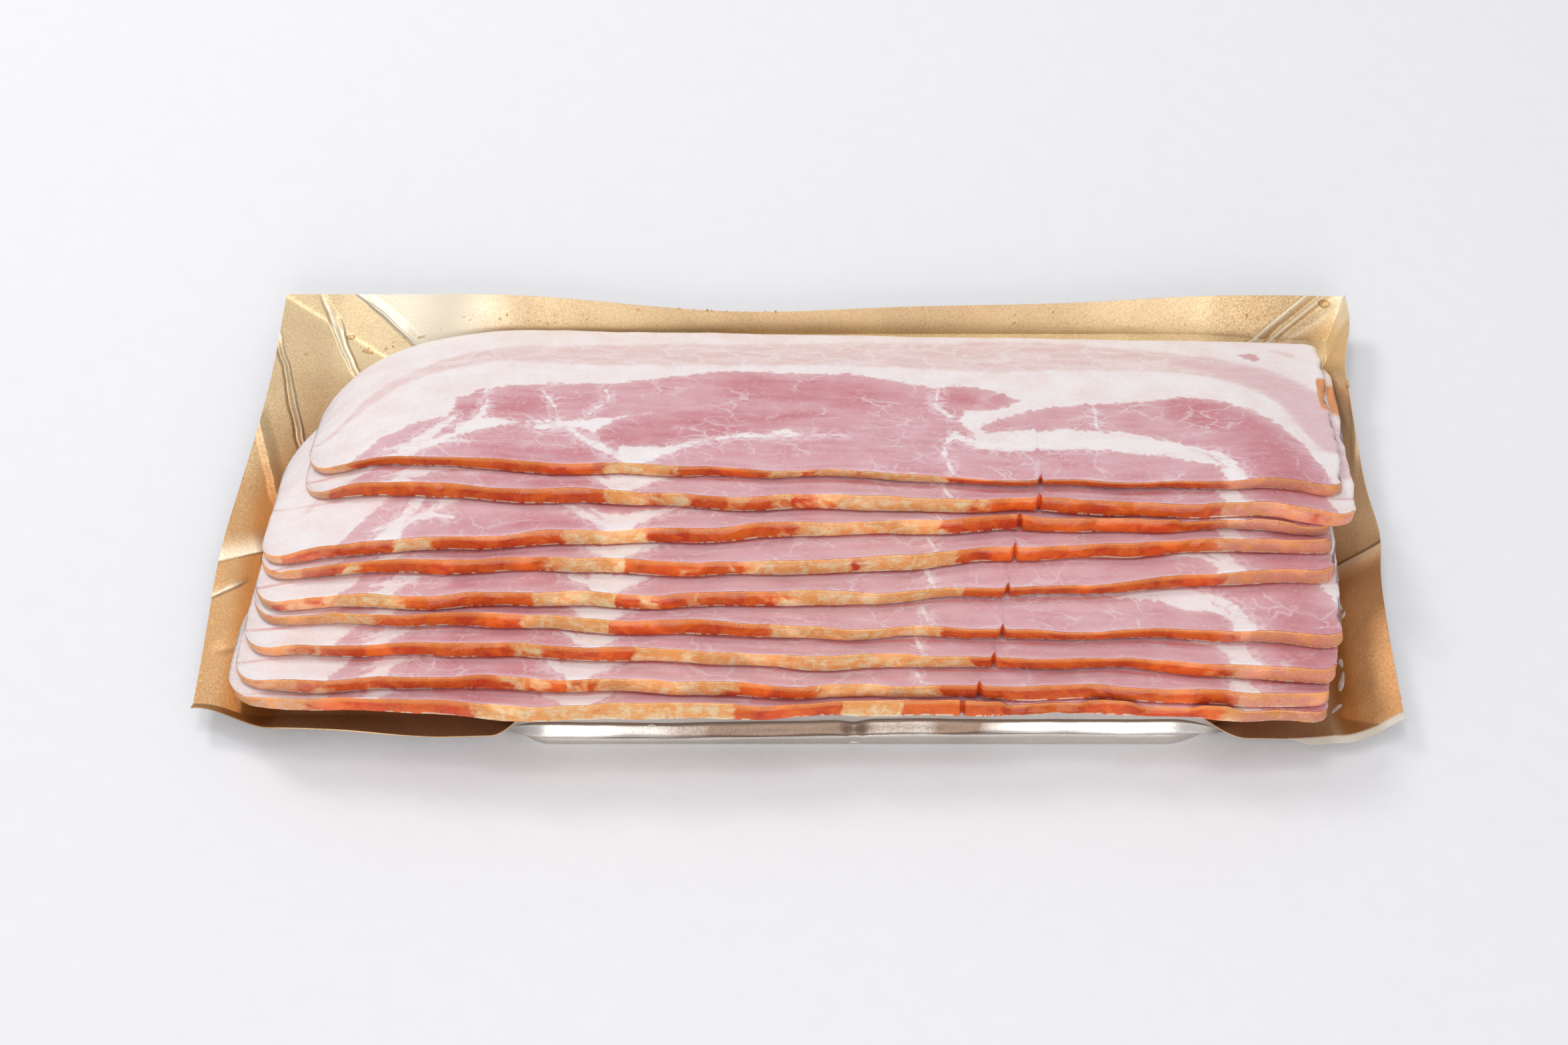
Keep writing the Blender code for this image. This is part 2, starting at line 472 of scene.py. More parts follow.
# ---- finishes -------------------------------------------------------------------

REACH = 4.0        # millimetres of depth that a stored field spans, either side of an outline
SPAN = 100.0       # millimetres that one unit of a rasher's UV map covers


@dataclass(frozen=True)
class Grain:
    """Patterns over a slice that break up its tissue, made once for a material."""

    flat: Wire              # place on the slice, in millimetres
    warped: Wire            # the same, pushed about
    broad: Wire             # soft clouds
    fine: Wire              # small blotches
    along: Wire             # long patches that follow the rasher
    fibre: Wire             # muscle fibres
    lobes: Wire             # distance to the borders of small lobes
    marbled: Wire           # 1 where the lean is marbled
    vein: Wire              # 1 on the white lines between bundles of lean

    @classmethod
    def over(cls, b: Bench) -> "Grain":
        """The patterns in a material's tree.

        Args:
            b: the material's bench.

        Returns:
            The patterns.
        """
        uv = b.wire(b.node("ShaderNodeUVMap", {"uv_map": "slice"}))
        flat = b.vector("MULTIPLY", uv, (SPAN, SPAN, SPAN))
        drift = b.wire(b.node("ShaderNodeTexNoise", None,
                              {"Vector": flat, "Scale": 0.20, "Detail": 3.0}), "Color")
        warped = b.vector("ADD", flat, b.vector("MULTIPLY", drift, (8.0, 6.0, 0.0)))
        marbled = b.step(b.noise(flat, 0.075, 2.0), 0.44, 0.60)
        bundles = b.cell_edge(b.stretched(warped, 0.12, 0.21), 1.0)
        return cls(
            flat=flat,
            warped=warped,
            broad=b.noise(flat, 0.13, 3.0),
            fine=b.noise(flat, 0.9, 4.0, 0.6),
            along=b.noise(b.stretched(flat, 0.07, 0.42), 1.0, 3.0),
            fibre=b.noise(b.stretched(flat, 0.5, 3.2), 1.0, 3.0, 0.65),
            lobes=b.cell_edge(b.stretched(warped, 0.30, 0.42), 1.0),
            marbled=marbled,
            vein=(1.0 - b.step(bundles, 0.0, 0.065)) * marbled,
        )


@dataclass(frozen=True)
class CuredMeat:
    """Cut faces of cured pork, and the smoked face that edges every rasher."""

    fat: Colour = tint(250, 242, 242)
    fat_shade: Colour = tint(244, 227, 224)
    pale_lean: Colour = tint(233, 203, 199)
    lean: Colour = tint(229, 188, 194)
    deep_lean: Colour = tint(205, 122, 132)
    blush: Colour = tint(202, 96, 112)
    vein: Colour = tint(246, 230, 231)
    smoked_lean: Colour = tint(242, 108, 10)
    smoked_deep: Colour = tint(210, 62, 0)
    smoked_fat: Colour = tint(255, 174, 98)
    smoked_pale: Colour = tint(255, 222, 172)
    smoked_rose: Colour = tint(242, 156, 130)
    # colour of the slit, also laid as painted shade with reflected orange in front of the rasher
    # above
    slit: Colour = tint(214, 62, 14)
    # colour of the painted highlights: dashes at the foot of the smoked face and small glints
    wet_glint: Colour = tint(255, 236, 208)

    def depth(self, field: Wire) -> Wire:
        """Millimetres inside an outline that a stored field means."""
        return (field - 0.5) * (2.0 * REACH)

    def lean_colour(self, b: Bench, g: Grain, tone: Wire, streak: Wire, deep: Wire) -> Wire:
        """Colour of the lean: redder by tone and in patches, paler at its rim, and marbled.

        Args:
            b: the material's bench.
            g: its patterns.
            tone: how dark the lean is.
            streak: the stored field of the streaks of fat.
            deep: millimetres inside the lean.

        Returns:
            The colour.
        """
        near_streak = b.step(streak, 0.10, 0.44)
        spread = b.maths("MAXIMUM", g.marbled * b.step(g.fine, 0.40, 0.66) * 0.6, near_streak)
        thread = (1.0 - b.step(g.lobes, 0.0, near_streak * 0.13 + 0.05)) * spread
        redness = tone + (g.along - 0.5) * 0.70 + (g.broad - 0.5) * 0.70 + (g.fibre - 0.5) * 0.12
        flush = b.step(b.noise(b.stretched(g.flat, 0.05, 0.16), 1.0, 3.0), 0.60, 0.74)
        cloudy = b.step(g.fine + (g.broad - 0.5) * 0.5, 0.52, 0.86)
        colour = b.mix(b.step(redness, 0.0, 1.05), self.lean, self.deep_lean)
        colour = b.mix(flush * 0.30, colour, self.blush)
        colour = b.mix((1.0 - b.step(deep, 0.4, 2.2)) * 0.20, colour, self.pale_lean)
        colour = b.mix(g.vein * 0.44, colour, self.vein)
        colour = b.mix(thread * 0.50, colour, self.vein)
        return b.mix(cloudy * 0.38, colour, self.vein)

    def pale_colour(self, b: Bench, g: Grain, tone: Wire) -> Wire:
        """Colour of the thin pale muscle under the skin side, with sheets of fat in it.

        Args:
            b: the material's bench.
            g: its patterns.
            tone: how dark the muscle is.

        Returns:
            The colour.
        """
        sheets = b.cell_edge(b.stretched(g.warped, 0.10, 0.30), 1.0)
        fatty = b.step(g.along + (g.fine - 0.5) * 0.5, 0.3, 0.75)
        colour = b.mix(fatty * 0.65, self.pale_lean, self.vein)
        colour = b.mix((1.0 - b.step(sheets, 0.0, 0.10)) * 0.40, colour, self.fat)
        return b.mix(b.step(tone, 0.50, 0.70) * 0.6, colour, self.lean)

    def cut_colour(self, b: Bench, g: Grain, tissue: tuple[Wire, Wire, Wire, Wire]) -> Wire:
        """Colour of a cut face: fat, pale muscle on it, lean on both, and streaks of fat on top.

        Args:
            b: the material's bench.
            g: its patterns.
            tissue: the stored fields of lean, pale muscle and streaks, and the lean's tone.

        Returns:
            The colour.
        """
        lean, pale, streak, tone = tissue
        wander = (g.broad - 0.5) * 2.4 + (g.fine - 0.5) * 0.8
        scallop = (b.step(g.lobes, 0.0, 0.35) - 0.6) * 0.8
        blot = b.noise(b.stretched(g.warped, 0.30, 0.36), 1.0, 3.0, 0.6)
        feather = b.step(b.noise(b.stretched(g.flat, 0.35, 0.9), 1.0, 3.0), 0.28, 0.58)
        deep = self.depth(lean) + wander + scallop + 0.35
        in_pale = b.step(self.depth(pale) + wander * 0.8 + scallop * 0.5, -0.9, 1.1)
        in_streak = b.step(self.depth(streak) + (blot - 0.5) * 3.4 + scallop * 0.5, -0.25, 0.50)
        colour = b.mix(b.step(g.broad * 0.6 + g.fine * 0.4, 0.36, 0.70), self.fat, self.fat_shade)
        colour = b.mix(in_pale, colour, self.pale_colour(b, g, tone))
        colour = b.mix(b.step(deep, -0.45, 0.55), colour, self.lean_colour(b, g, tone, streak, deep))
        return b.mix(in_streak * (0.45 + feather * 0.5), colour, self.fat)

    def smoked_colour(self, b: Bench, g: Grain, rind_fat: Wire, down: Wire, rosy: Wire,
                      wet_glint: Wire) -> Wire:
        """Colour of the smoked face: deep orange on lean, golden on fat, with a painted highlight at
        its top, painted shade at its foot, and painted highlight dashes and glints where it is wet.

        Args:
            b: the material's bench.
            g: its patterns.
            rind_fat: share of fat behind the face.
            down: how far down the face a point is.
            rosy: how little the smoke has coloured it.
            wet_glint: 1 where brine lies on it, which is where the painted highlight dashes go.

        Returns:
            The colour.
        """
        patch = b.noise(b.stretched(g.warped, 0.15, 0.06), 1.0)
        mottle = b.noise(b.stretched(g.warped, 0.36, 0.26), 1.0, 3.0)
        on_fat = b.step(rind_fat + (patch - 0.5) * 1.1 + (mottle - 0.5) * 0.5, 0.40, 0.62)
        lean = b.mix(b.step(patch * 0.5 + mottle * 0.5, 0.36, 0.60),
                     self.smoked_deep, self.smoked_lean)
        fat = b.mix(b.step(mottle + (g.fine - 0.5) * 0.5, 0.38, 0.68),
                    self.smoked_fat, self.smoked_pale)
        colour = b.mix(on_fat, lean, fat)
        colour = b.mix(rosy * b.step(mottle, 0.20, 0.60), colour, self.smoked_rose)
        # Painted highlight: the top of the face is lightened towards golden. Painted shade: its foot
        # is darkened towards deep orange.
        colour = b.mix(b.step(0.24 - down, 0.0, 0.20) * 0.50, colour, self.smoked_fat)
        colour = b.mix(b.step(down, 0.80, 1.0) * 0.60, colour, self.smoked_deep)
        # Painted highlights: pale dashes just above the foot where brine lies, and small glints over
        # shiny patches.
        dash = b.step(b.noise(b.stretched(g.flat, 0.42, 0.06), 1.0, 3.0, 0.6), 0.46, 0.54)
        at_foot = b.step(down, 0.72, 0.80) * (1.0 - b.step(down, 0.90, 0.97))
        shiny = b.step(b.noise(g.flat, 0.16), 0.50, 0.62)
        glint = b.step(b.noise(g.flat, 3.6, 1.0), 0.66, 0.72) * shiny
        colour = b.mix(at_foot * dash * wet_glint * 0.85, colour, self.wet_glint)
        return b.mix(glint * 0.55, colour, self.wet_glint)

    def material(self) -> bpy.types.Material:
        """Node material: the stored fields lay out the tissue, noise breaks its outlines.

        Returns:
            The material.
        """
        b = Bench("cured pork")
        g = Grain.over(b)
        tissue = b.fields("tissue")
        smoke, rind_fat, down, slit_and_contact_shade = b.fields("edge")
        # Where brine lies: stronger relief, and the painted highlight dashes at the foot.
        wet_glint = b.step(b.noise(g.flat, 0.07), 0.38, 0.50)
        skin = b.step(smoke + (g.fine - 0.5) * 0.35, 0.35, 0.62)
        colour = b.mix(skin, self.cut_colour(b, g, tissue),
                       self.smoked_colour(b, g, rind_fat, down, tissue[3], wet_glint))
        # The slit's colour: in the slit, and as painted shade with reflected orange just in front of
        # the foot of the rasher above.
        colour = b.mix(b.step(slit_and_contact_shade, 0.2, 0.9) * 0.8, colour, self.slit)
        speck = b.noise(g.flat, 3.4, 2.0, 0.6)
        sparkle = b.noise(b.stretched(g.flat, 1.5, 2.2), 1.0, 3.0, 0.6)
        relief = ((g.fibre * 0.16 + speck * 0.05 - g.vein * 0.06) * (1.0 - skin)
                  + (sparkle * (0.30 + wet_glint * 0.55)) * skin)
        return b.finish({
            "Base Color": colour,
            "Roughness": (0.40 - (g.broad - 0.5) * 0.2) * (1.0 - skin) + skin * 0.22,
            "IOR": 1.40,
            "Specular IOR Level": 0.35,
            "Coat Weight": skin * 0.34 + 0.06,
            "Coat Roughness": 0.08,
            "Subsurface Weight": 0.12,
            "Subsurface Radius": (1.0, 0.45, 0.35),
            "Subsurface Scale": 0.0016,
            "Normal": b.bump(relief, MM),
        })


class Side(Enum):
    """The two faces of the tray's foil."""

    GILT = "gilt foil"
    BARE = "bare foil"


@dataclass(frozen=True)
class Crease:
    """A fold in the foil: a straight crest with a plane face falling away on either side."""

    start: tuple[float, float]
    end: tuple[float, float]
    left: float             # width of the face on the left of the way from start to end
    right: float            # width of the other face
    height: float           # negative for a valley
    # The last field is the strength of the painted highlight on the crest.
    painted_light: float = 0.0      # how brightly the crest shines

    def profile(self, b: Bench, x: Wire, y: Wire) -> Wire:
        """Share of the fold's height at a place, 1 on the crest and 0 beyond its faces.

        Args:
            b: the foil's bench.
            x: the place, in the drawing's millimetres.
            y: the same, front to back.

        Returns:
            The share, which also fades towards both ends of the crest.
        """
        first, last = np.array(self.start), np.array(self.end)
        length = float(np.hypot(*(last - first)))
        ahead, across = (float(part) for part in (last - first) / length)
        along = ((x - self.start[0]) * ahead + (y - self.start[1]) * across) / length
        side = (x - self.start[0]) * across - (y - self.start[1]) * ahead
        rise = b.maths("MINIMUM", side / self.left + 1.0, 1.0 - side / self.right)
        held = b.step(along, 0.0, 0.25) * (1.0 - b.step(along, 0.66, 1.0))
        return b.step(rise, 0.0, 1.15) * held


@dataclass(frozen=True)
class Foil:
    """Satin rolled foil with a fine grain and its creases, with painted shade and highlights in its
    colour.
    """

    side: Side
    light: Colour
    dark: Colour
    roughness: float
    metal: float
    # colour of the painted highlights on crests and lit facets
    painted_highlight: Colour = tint(255, 243, 218)
    # colour of the painted shade deep in the tray and beside the meat
    deep: Colour = tint(166, 106, 48)
    creases: tuple[Crease, ...] = ()

    LOW_LINE, HIGH_LINE = 0.25, 0.60         # share of the front wall's height of its pressed lines

    def band(self, b: Bench, height: Wire, middle: float, reach: float) -> Wire:
        """1 at a height up the front wall, fading to 0 a reach away from it."""
        return 1.0 - b.step(b.maths("ABSOLUTE", height - middle), 0.0, reach)

    def painted_front_shade(self, b: Bench, up: Wire, speck: Wire, length_shade: Wire) -> Wire:
        """Painted shade and reflection of the bare front wall, which has two pressed lines with a
        roll between.

        Args:
            b: the foil's bench.
            up: how far up the wall a point is, from 0 to 1.
            speck: the foil's fine grain.
            length_shade: painted shade along the wall's length, strongest on the roll.

        Returns:
            Share of the dark colour.
        """
        on_roll = b.step(up, 0.24, 0.34) * (1.0 - b.step(up, 0.52, 0.62))
        return (speck * 0.2 + 0.10 + self.band(b, up, self.LOW_LINE, 0.06) * 0.7
                + self.band(b, up, self.HIGH_LINE, 0.07) * 1.2 + length_shade * (on_roll * 1.1 + 0.10)
                + b.step(up, 0.60, 0.70) * 0.30 + (1.0 - b.step(up, 0.18, 0.24)) * 0.32)

    def folded(self, b: Bench, place: Wire, colour: Wire, relief: Wire,
               painted_light: Wire) -> tuple[Wire, Wire]:
        """Colour and relief with the creases laid in, and painted highlights on their crests and on
        lit facets.

        Args:
            b: the foil's bench.
            place: the object's own coordinates.
            colour: the plain foil's.
            relief: the plain foil's, in millimetres.
            painted_light: share of painted highlight where the shape itself faces the light.

        Returns:
            The colour and the relief.
        """
        parts = b.node("ShaderNodeSeparateXYZ", None, {0: place})
        sway = (b.noise(place, 60.0) - 0.5) * 3.0
        x = b.wire(parts, 0) / MM + float(ORIGIN[0]) + sway
        y = b.wire(parts, 1) / MM + float(ORIGIN[1]) + sway * 0.6
        # The painted highlight on the lit facet ends on a slanted line.
        past_edge = b.step(y * 1.30 + x, -33.5, -32.0)      # the lit facet ends on a slanted line
        bright = painted_light * past_edge
        for crease in self.creases:
            profile = crease.profile(b, x, y)
            relief = relief + profile * crease.height
            if crease.painted_light:
                bright = b.maths("MAXIMUM", bright, profile * crease.painted_light)
        return b.mix(b.step(bright, 0.0, 1.0), colour, self.painted_highlight), relief

    def material(self) -> bpy.types.Material:
        """Node material in the object's own coordinates.

        Returns:
            The material.
        """
        b = Bench(self.side.value)
        place = b.own_place()
        speck = b.noise(place, 1900.0, 2.0, 0.7)
        cloud = b.noise(place, 55.0, 3.0)
        relief = speck * 0.05 + cloud * 0.35
        deep_shade, side_shade, front, painted_light = b.fields("wall")
        if self.side is Side.BARE:
            up = front + (b.noise(place, 60.0) - 0.5) * 0.06
            # The bare front's colour carries painted shade and reflection along its lines and roll.
            colour = b.mix(self.painted_front_shade(b, up, speck, painted_light), self.light, self.dark)
        else:
            # Painted shade: the gilt darkens deep in the tray, beside the meat and on the side walls
            # and flange.
            share = (speck - 0.5) * 1.1 + (cloud - 0.5) * 0.7 + deep_shade * 0.25 + side_shade * 0.8 + 0.16
            colour = b.mix(deep_shade, b.mix(share, self.light, self.dark), self.deep)
        if self.creases:
            colour, relief = self.folded(b, place, colour, relief, painted_light)
        return b.finish({
            "Base Color": colour,
            "Metallic": self.metal,
            "Roughness": self.roughness + (speck - 0.5) * 0.22 + (cloud - 0.5) * 0.1,
            "Normal": b.bump(relief, MM),
        })


@dataclass(frozen=True)
class Brine:
    """Clear salty juice."""

    clear: Colour = tint(255, 244, 226)
    salty: Colour = tint(255, 226, 180)

    def material(self) -> bpy.types.Material:
        """Transparent, moist and smooth, a little uneven.

        Returns:
            The material.
        """
        b = Bench("brine")
        cloud = b.noise(b.own_place(), 300.0, 2.0)
        return b.finish({
            "Base Color": b.mix(b.step(cloud, 0.3, 0.8), self.clear, self.salty),
            "Roughness": 0.04 + cloud * 0.04,
            "IOR": 1.34,
            "Transmission Weight": 1.0,
        })


@dataclass(frozen=True)
class Suet:
    """Soft scraps of fat rubbed off on the foil."""

    thin: Colour = tint(236, 214, 196)
    thick: Colour = tint(244, 230, 220)

    def material(self) -> bpy.types.Material:
        """Milky white, see-through where it is thin.

        Returns:
            The material.
        """
        b = Bench("rubbed fat")
        cloud = b.noise(b.own_place(), 700.0, 3.0)
        return b.finish({
            "Alpha": 0.25 + cloud * 0.5,
            "Base Color": b.mix(b.step(cloud, 0.3, 0.7), self.thin, self.thick),
            "Roughness": 0.35 + cloud * 0.15,
            "Coat Weight": 0.3,
            "Normal": b.bump(cloud * 0.12, MM),
        })


@dataclass(frozen=True)
class ClearFilm:
    """Scraps of the clear lid, left along the seal."""

    bright: Colour = tint(246, 238, 222)
    hazy: Colour = tint(226, 212, 188)

    def material(self) -> bpy.types.Material:
        """Thin clear plastic with a faint haze.

        Returns:
            The material.
        """
        b = Bench("clear film")
        haze = b.noise(b.own_place(), 160.0, 2.0)
        return b.finish({
            "Base Color": b.mix(b.step(haze, 0.3, 0.7), self.bright, self.hazy),
            "Roughness": 0.12 + haze * 0.12,
            "IOR": 1.30,
            "Alpha": 0.30 + haze * 0.30,
        })


@dataclass(frozen=True)
class Tabletop:
    """Plain pale floor."""

    light: Colour = tint(241, 241, 243)
    dark: Colour = tint(237, 237, 240)

    def material(self) -> bpy.types.Material:
        """Matt near-white with a faint unevenness.

        Returns:
            The material.
        """
        b = Bench("pale tabletop")
        cloud = b.noise(b.own_place(), 160.0, 3.0)
        return b.finish({
            "Base Color": b.mix(cloud, self.light, self.dark),
            "Roughness": 0.75,
            "Normal": b.bump(cloud * 0.5, MM, 0.35),
        })


# ---- the stack --------------------------------------------------------------------

STATIONS = np.array((-110.0, -60.0, -5.0, 50.0, 107.0))      # x at which a rasher's edges are given
OUTSIDE = -99.0                                              # depth of a point far from any ribbon


@dataclass(frozen=True)
class Stack:
    """How the rashers lie: the lowest leans on the front wall, the top one slopes to the floor."""

    count: int = 9
    gap: float = 0.35             # between one rasher and the next
    meat: float = 2.4             # thickness behind the front lip
    pitch: float = 6.6            # how far each lies in front of the one above
    back_edge: float = 50.8       # y of the top one's back edge at x = 0
    back_skew: float = -0.022     # its slope along x
    lean: float = 0.2035          # rise for each millimetre in front of the lowest one's back edge
    foil: float = 0.8             # thickness of the tray's floor

    @property
    def bed(self) -> float:
        """Height of the lowest underside."""
        return self.foil + self.gap

    def back_line(self, index: int, x: Array) -> Array:
        """Back edge of a rasher before its corners are rounded."""
        return self.back_edge + self.back_skew * x - self.pitch * index

    def slump(self, x: Array, y: Array) -> Array:
        """Share of its height that the stack keeps: its ends sink a little.

        Args:
            x: place along the rashers.
            y: place across them.

        Returns:
            The share, about 1 in the middle.
        """
        left = ramp(x, -88.0, -122.0) * (0.10 + 0.24 * ramp(y, -36.0, 8.0))
        right = 0.14 * ramp(x, 96.0, 118.0)
        wave = 0.018 * np.sin(x / 17.0 + 0.6) * np.cos(y / 29.0)
        return 1.0 - left - right + wave

    def underside(self, index: int, x: Array, y: Array) -> Array:
        """Height of a rasher's underside: the layers beneath it, on the lean.

        Args:
            index: the rasher's number, 0 for the top one.
            x: place along the rasher.
            y: place across it.

        Returns:
            Height above the table.
        """
        lowest = self.count - 1
        layers = np.clip((self.back_line(index, x) - y) / self.pitch, 0.0, lowest - index)
        rise = self.lean * np.clip(self.back_line(lowest, x) - y, 0.0, None)
        return self.bed + self.slump(x, y) * ((self.meat + self.gap) * layers + rise)


@dataclass(frozen=True)
class Belly:
    """Lie of lean and fat across one slice: x along it, depth from its back edge.

    Every rasher is cut from the same piece, so all share this layout, and from
    one to the next its parts move along a little.
    """

    width: float = 58.0
    pale: tuple[Knots, ...] = (
        ((-109.5, 42.0, 0.8), (-97.0, 23.5, 2.4), (-84.5, 15.5, 3.0), (-69.5, 12.3, 3.6),
         (-47.0, 12.0, 5.0), (3.0, 9.9, 5.2), (44.0, 9.2, 6.8), (65.5, 9.0, 5.8),
         (84.0, 10.5, 4.8), (98.0, 14.0, 4.8), (108.0, 19.5, 6.0), (115.0, 28.0, 6.8),
         (118.5, 41.0, 6.2)),
        ((111.0, 4.5, 0.6), (115.0, 6.0, 1.1)),
    )
    lean: tuple[Knots, ...] = (
        ((-77.2, 33.6, 2.4), (-76.4, 38.0, 3.1), (-77.4, 42.6, 2.2)),
        ((-71.0, 34.8, 6.6), (-62.0, 34.0, 8.0), (-39.5, 31.6, 7.6), (-24.5, 27.6, 7.6),
         (-14.5, 25.4, 7.4), (-5.0, 25.6, 6.8), (9.0, 26.8, 7.8), (21.8, 30.0, 8.2),
         (29.0, 33.0, 6.6)),
        ((3.0, 39.0, 8.0), (16.0, 41.0, 9.0), (27.0, 43.0, 9.0), (29.0, 50.0, 8.0)),
        ((-44.0, 47.0, 3.4), (-36.0, 44.6, 7.0), (-24.5, 41.3, 7.0), (-12.0, 37.7, 6.5),
         (0.0, 36.5, 5.6), (12.0, 37.5, 4.0)),
        ((-97.0, 58.0, 2.4), (-89.0, 51.0, 4.4), (-81.0, 45.0, 4.2)),
        ((-82.0, 57.5, 3.4), (-68.0, 52.0, 6.8), (-56.0, 49.2, 7.0), (-48.0, 55.0, 6.8)),
        ((-66.0, 58.0, 5.0), (-44.0, 60.0, 5.0)),
        ((-33.0, 61.0, 4.4), (-24.0, 56.0, 6.4), (-8.0, 52.8, 7.6), (9.0, 51.8, 8.2),
         (28.0, 53.0, 8.4)),
        ((33.4, 27.6, 4.6), (40.0, 28.2, 4.6), (49.0, 28.4, 0.4)),
        ((40.5, 39.4, 1.4), (52.0, 36.5, 4.0), (65.0, 34.6, 5.4), (80.0, 34.0, 6.0)),
        ((76.0, 34.6, 6.6), (89.0, 37.0, 10.4), (97.5, 44.0, 10.8), (103.0, 53.0, 9.8),
         (104.5, 62.0, 9.6)),
        ((32.4, 54.4, 5.6), (42.0, 54.0, 6.2), (65.0, 53.6, 6.2), (86.0, 56.6, 4.4)),
        ((48.0, 62.0, 5.0), (86.0, 62.0, 4.4)),
        ((103.0, 7.2, 0.4), (105.5, 7.5, 1.5)),
    )
    streaks: tuple[Knots, ...] = (
        ((-54.0, 43.0, 0.7), (-48.5, 49.0, 1.1), (-41.0, 55.6, 1.3), (-37.0, 60.0, 2.0)),
        ((-38.0, 58.0, 1.7), (-33.0, 54.0, 1.4), (-27.0, 50.8, 0.7), (-15.7, 46.4, 0.5),
         (-5.0, 45.4, 0.6), (8.0, 45.4, 0.1)),
        ((-60.0, 44.4, 0.9), (-55.0, 43.4, 1.5), (-47.0, 41.8, 0.8)),
        ((-77.0, 46.6, 0.8), (-72.5, 44.6, 1.4), (-67.0, 43.0, 0.7)),
        ((-88.0, 56.0, 1.4), (-84.0, 50.0, 1.8), (-80.6, 44.0, 1.4), (-78.0, 40.0, 0.4)),
        ((-73.2, 28.0, 0.4), (-72.4, 37.0, 0.8), (-75.0, 44.0, 1.0), (-81.0, 44.8, 0.9)),
        ((-60.0, 29.0, 0.2), (-57.0, 35.0, 0.5), (-55.4, 41.0, 0.6)),
        ((-46.0, 27.0, 0.1), (-45.0, 32.0, 0.4), (-49.0, 38.0, 0.5)),
        ((-92.0, 55.0, 0.5), (-85.0, 52.6, 1.0), (-79.0, 51.4, 1.0), (-74.0, 52.0, 0.4)),
        ((84.0, 46.6, 1.1), (90.5, 50.0, 1.5), (93.6, 58.0, 1.7), (94.0, 62.0, 1.6)),
        ((65.5, 27.5, 0.3), (65.0, 39.0, 0.4)),
        ((33.0, 42.0, 0.5), (30.0, 49.0, 0.7), (31.5, 57.0, 0.4)),
        ((30.5, 24.0, 0.5), (29.6, 31.0, 0.8), (32.0, 35.5, 1.2)),
        ((33.0, 43.5, 1.4), (40.0, 46.8, 1.6), (56.0, 46.6, 1.7), (70.0, 44.4, 2.2),
         (82.0, 46.6, 1.8)),
    )
    dark: tuple[Knots, ...] = (
        ((-40.0, 47.0, 5.0), (-24.5, 42.0, 6.0), (-12.0, 38.5, 5.0), (2.0, 36.5, 3.0)),
        ((-70.0, 55.4, 2.0), (-48.0, 55.0, 2.4)),
        ((86.0, 30.0, 6.0), (96.0, 38.0, 6.0), (105.0, 54.0, 7.0)),
        ((-14.0, 25.0, 6.0), (18.0, 29.0, 5.0)),
        ((34.0, 28.0, 4.0), (44.0, 28.5, 3.0)),
        ((-77.0, 38.0, 3.0), (-60.0, 35.0, 5.0)),
        ((88.0, 11.0, 2.0), (99.0, 14.5, 4.0), (108.5, 20.0, 5.6), (115.0, 30.0, 6.4),
         (118.0, 42.0, 6.0)),
    )
    drift: tuple[float, ...] = (-0.4, 1.1, 1.2, 1.2, 0.0)    # millimetres from one slice to the next

    def shifted(self, index: int, x: Array) -> Array:
        """Where a place along a rasher lies in the shared layout.

        Args:
            index: the rasher's number, 0 for the top one.
            x: the place along it.

        Returns:
            The same tissue's place along the top rasher.
        """
        per_slice = smooth_curve(STATIONS, self.drift, x)
        return x + index * per_slice + (1.2 * waver(x, index, 19.0) if index else 0.0)

    def fields(self, index: int, x: Array, depth: Array) -> Array:
        """Tissue at points of one rasher.

        Args:
            index: the rasher's number, 0 for the top one.
            x: place along the rasher.
            depth: distance from its back edge, on the layout's width.

        Returns:
            Lean, pale lean and streak as depths inside their outlines scaled to
            0..1 about 0.5, and the darkness of the lean.
        """
        place = self.shifted(index, x)
        deep = depth + (0.8 * waver(x, index + 3.0, 23.0) if index else 0.0)
        found = []
        for group in (self.lean, self.pale, self.streaks, self.dark):
            inside = np.full(x.shape, OUTSIDE)
            for knots in group:
                inside = np.maximum(inside, ribbon_depth(place, deep, knots))
            found.append(inside)
        # Every rasher below the top one gets lighter lean: painted light that lifts the shade of the
        # rasher above.
        tone = 0.42 + 0.29 * ramp(found[3], -3.0, 4.0) - (0.12 if index else 0.0)
        tone = tone - 0.12 * ramp(place, -80.0, -82.5) * ramp(deep, 43.0, 46.0)
        return np.stack([0.5 + part / (2.0 * REACH) for part in found[:3]] + [tone], axis=-1)


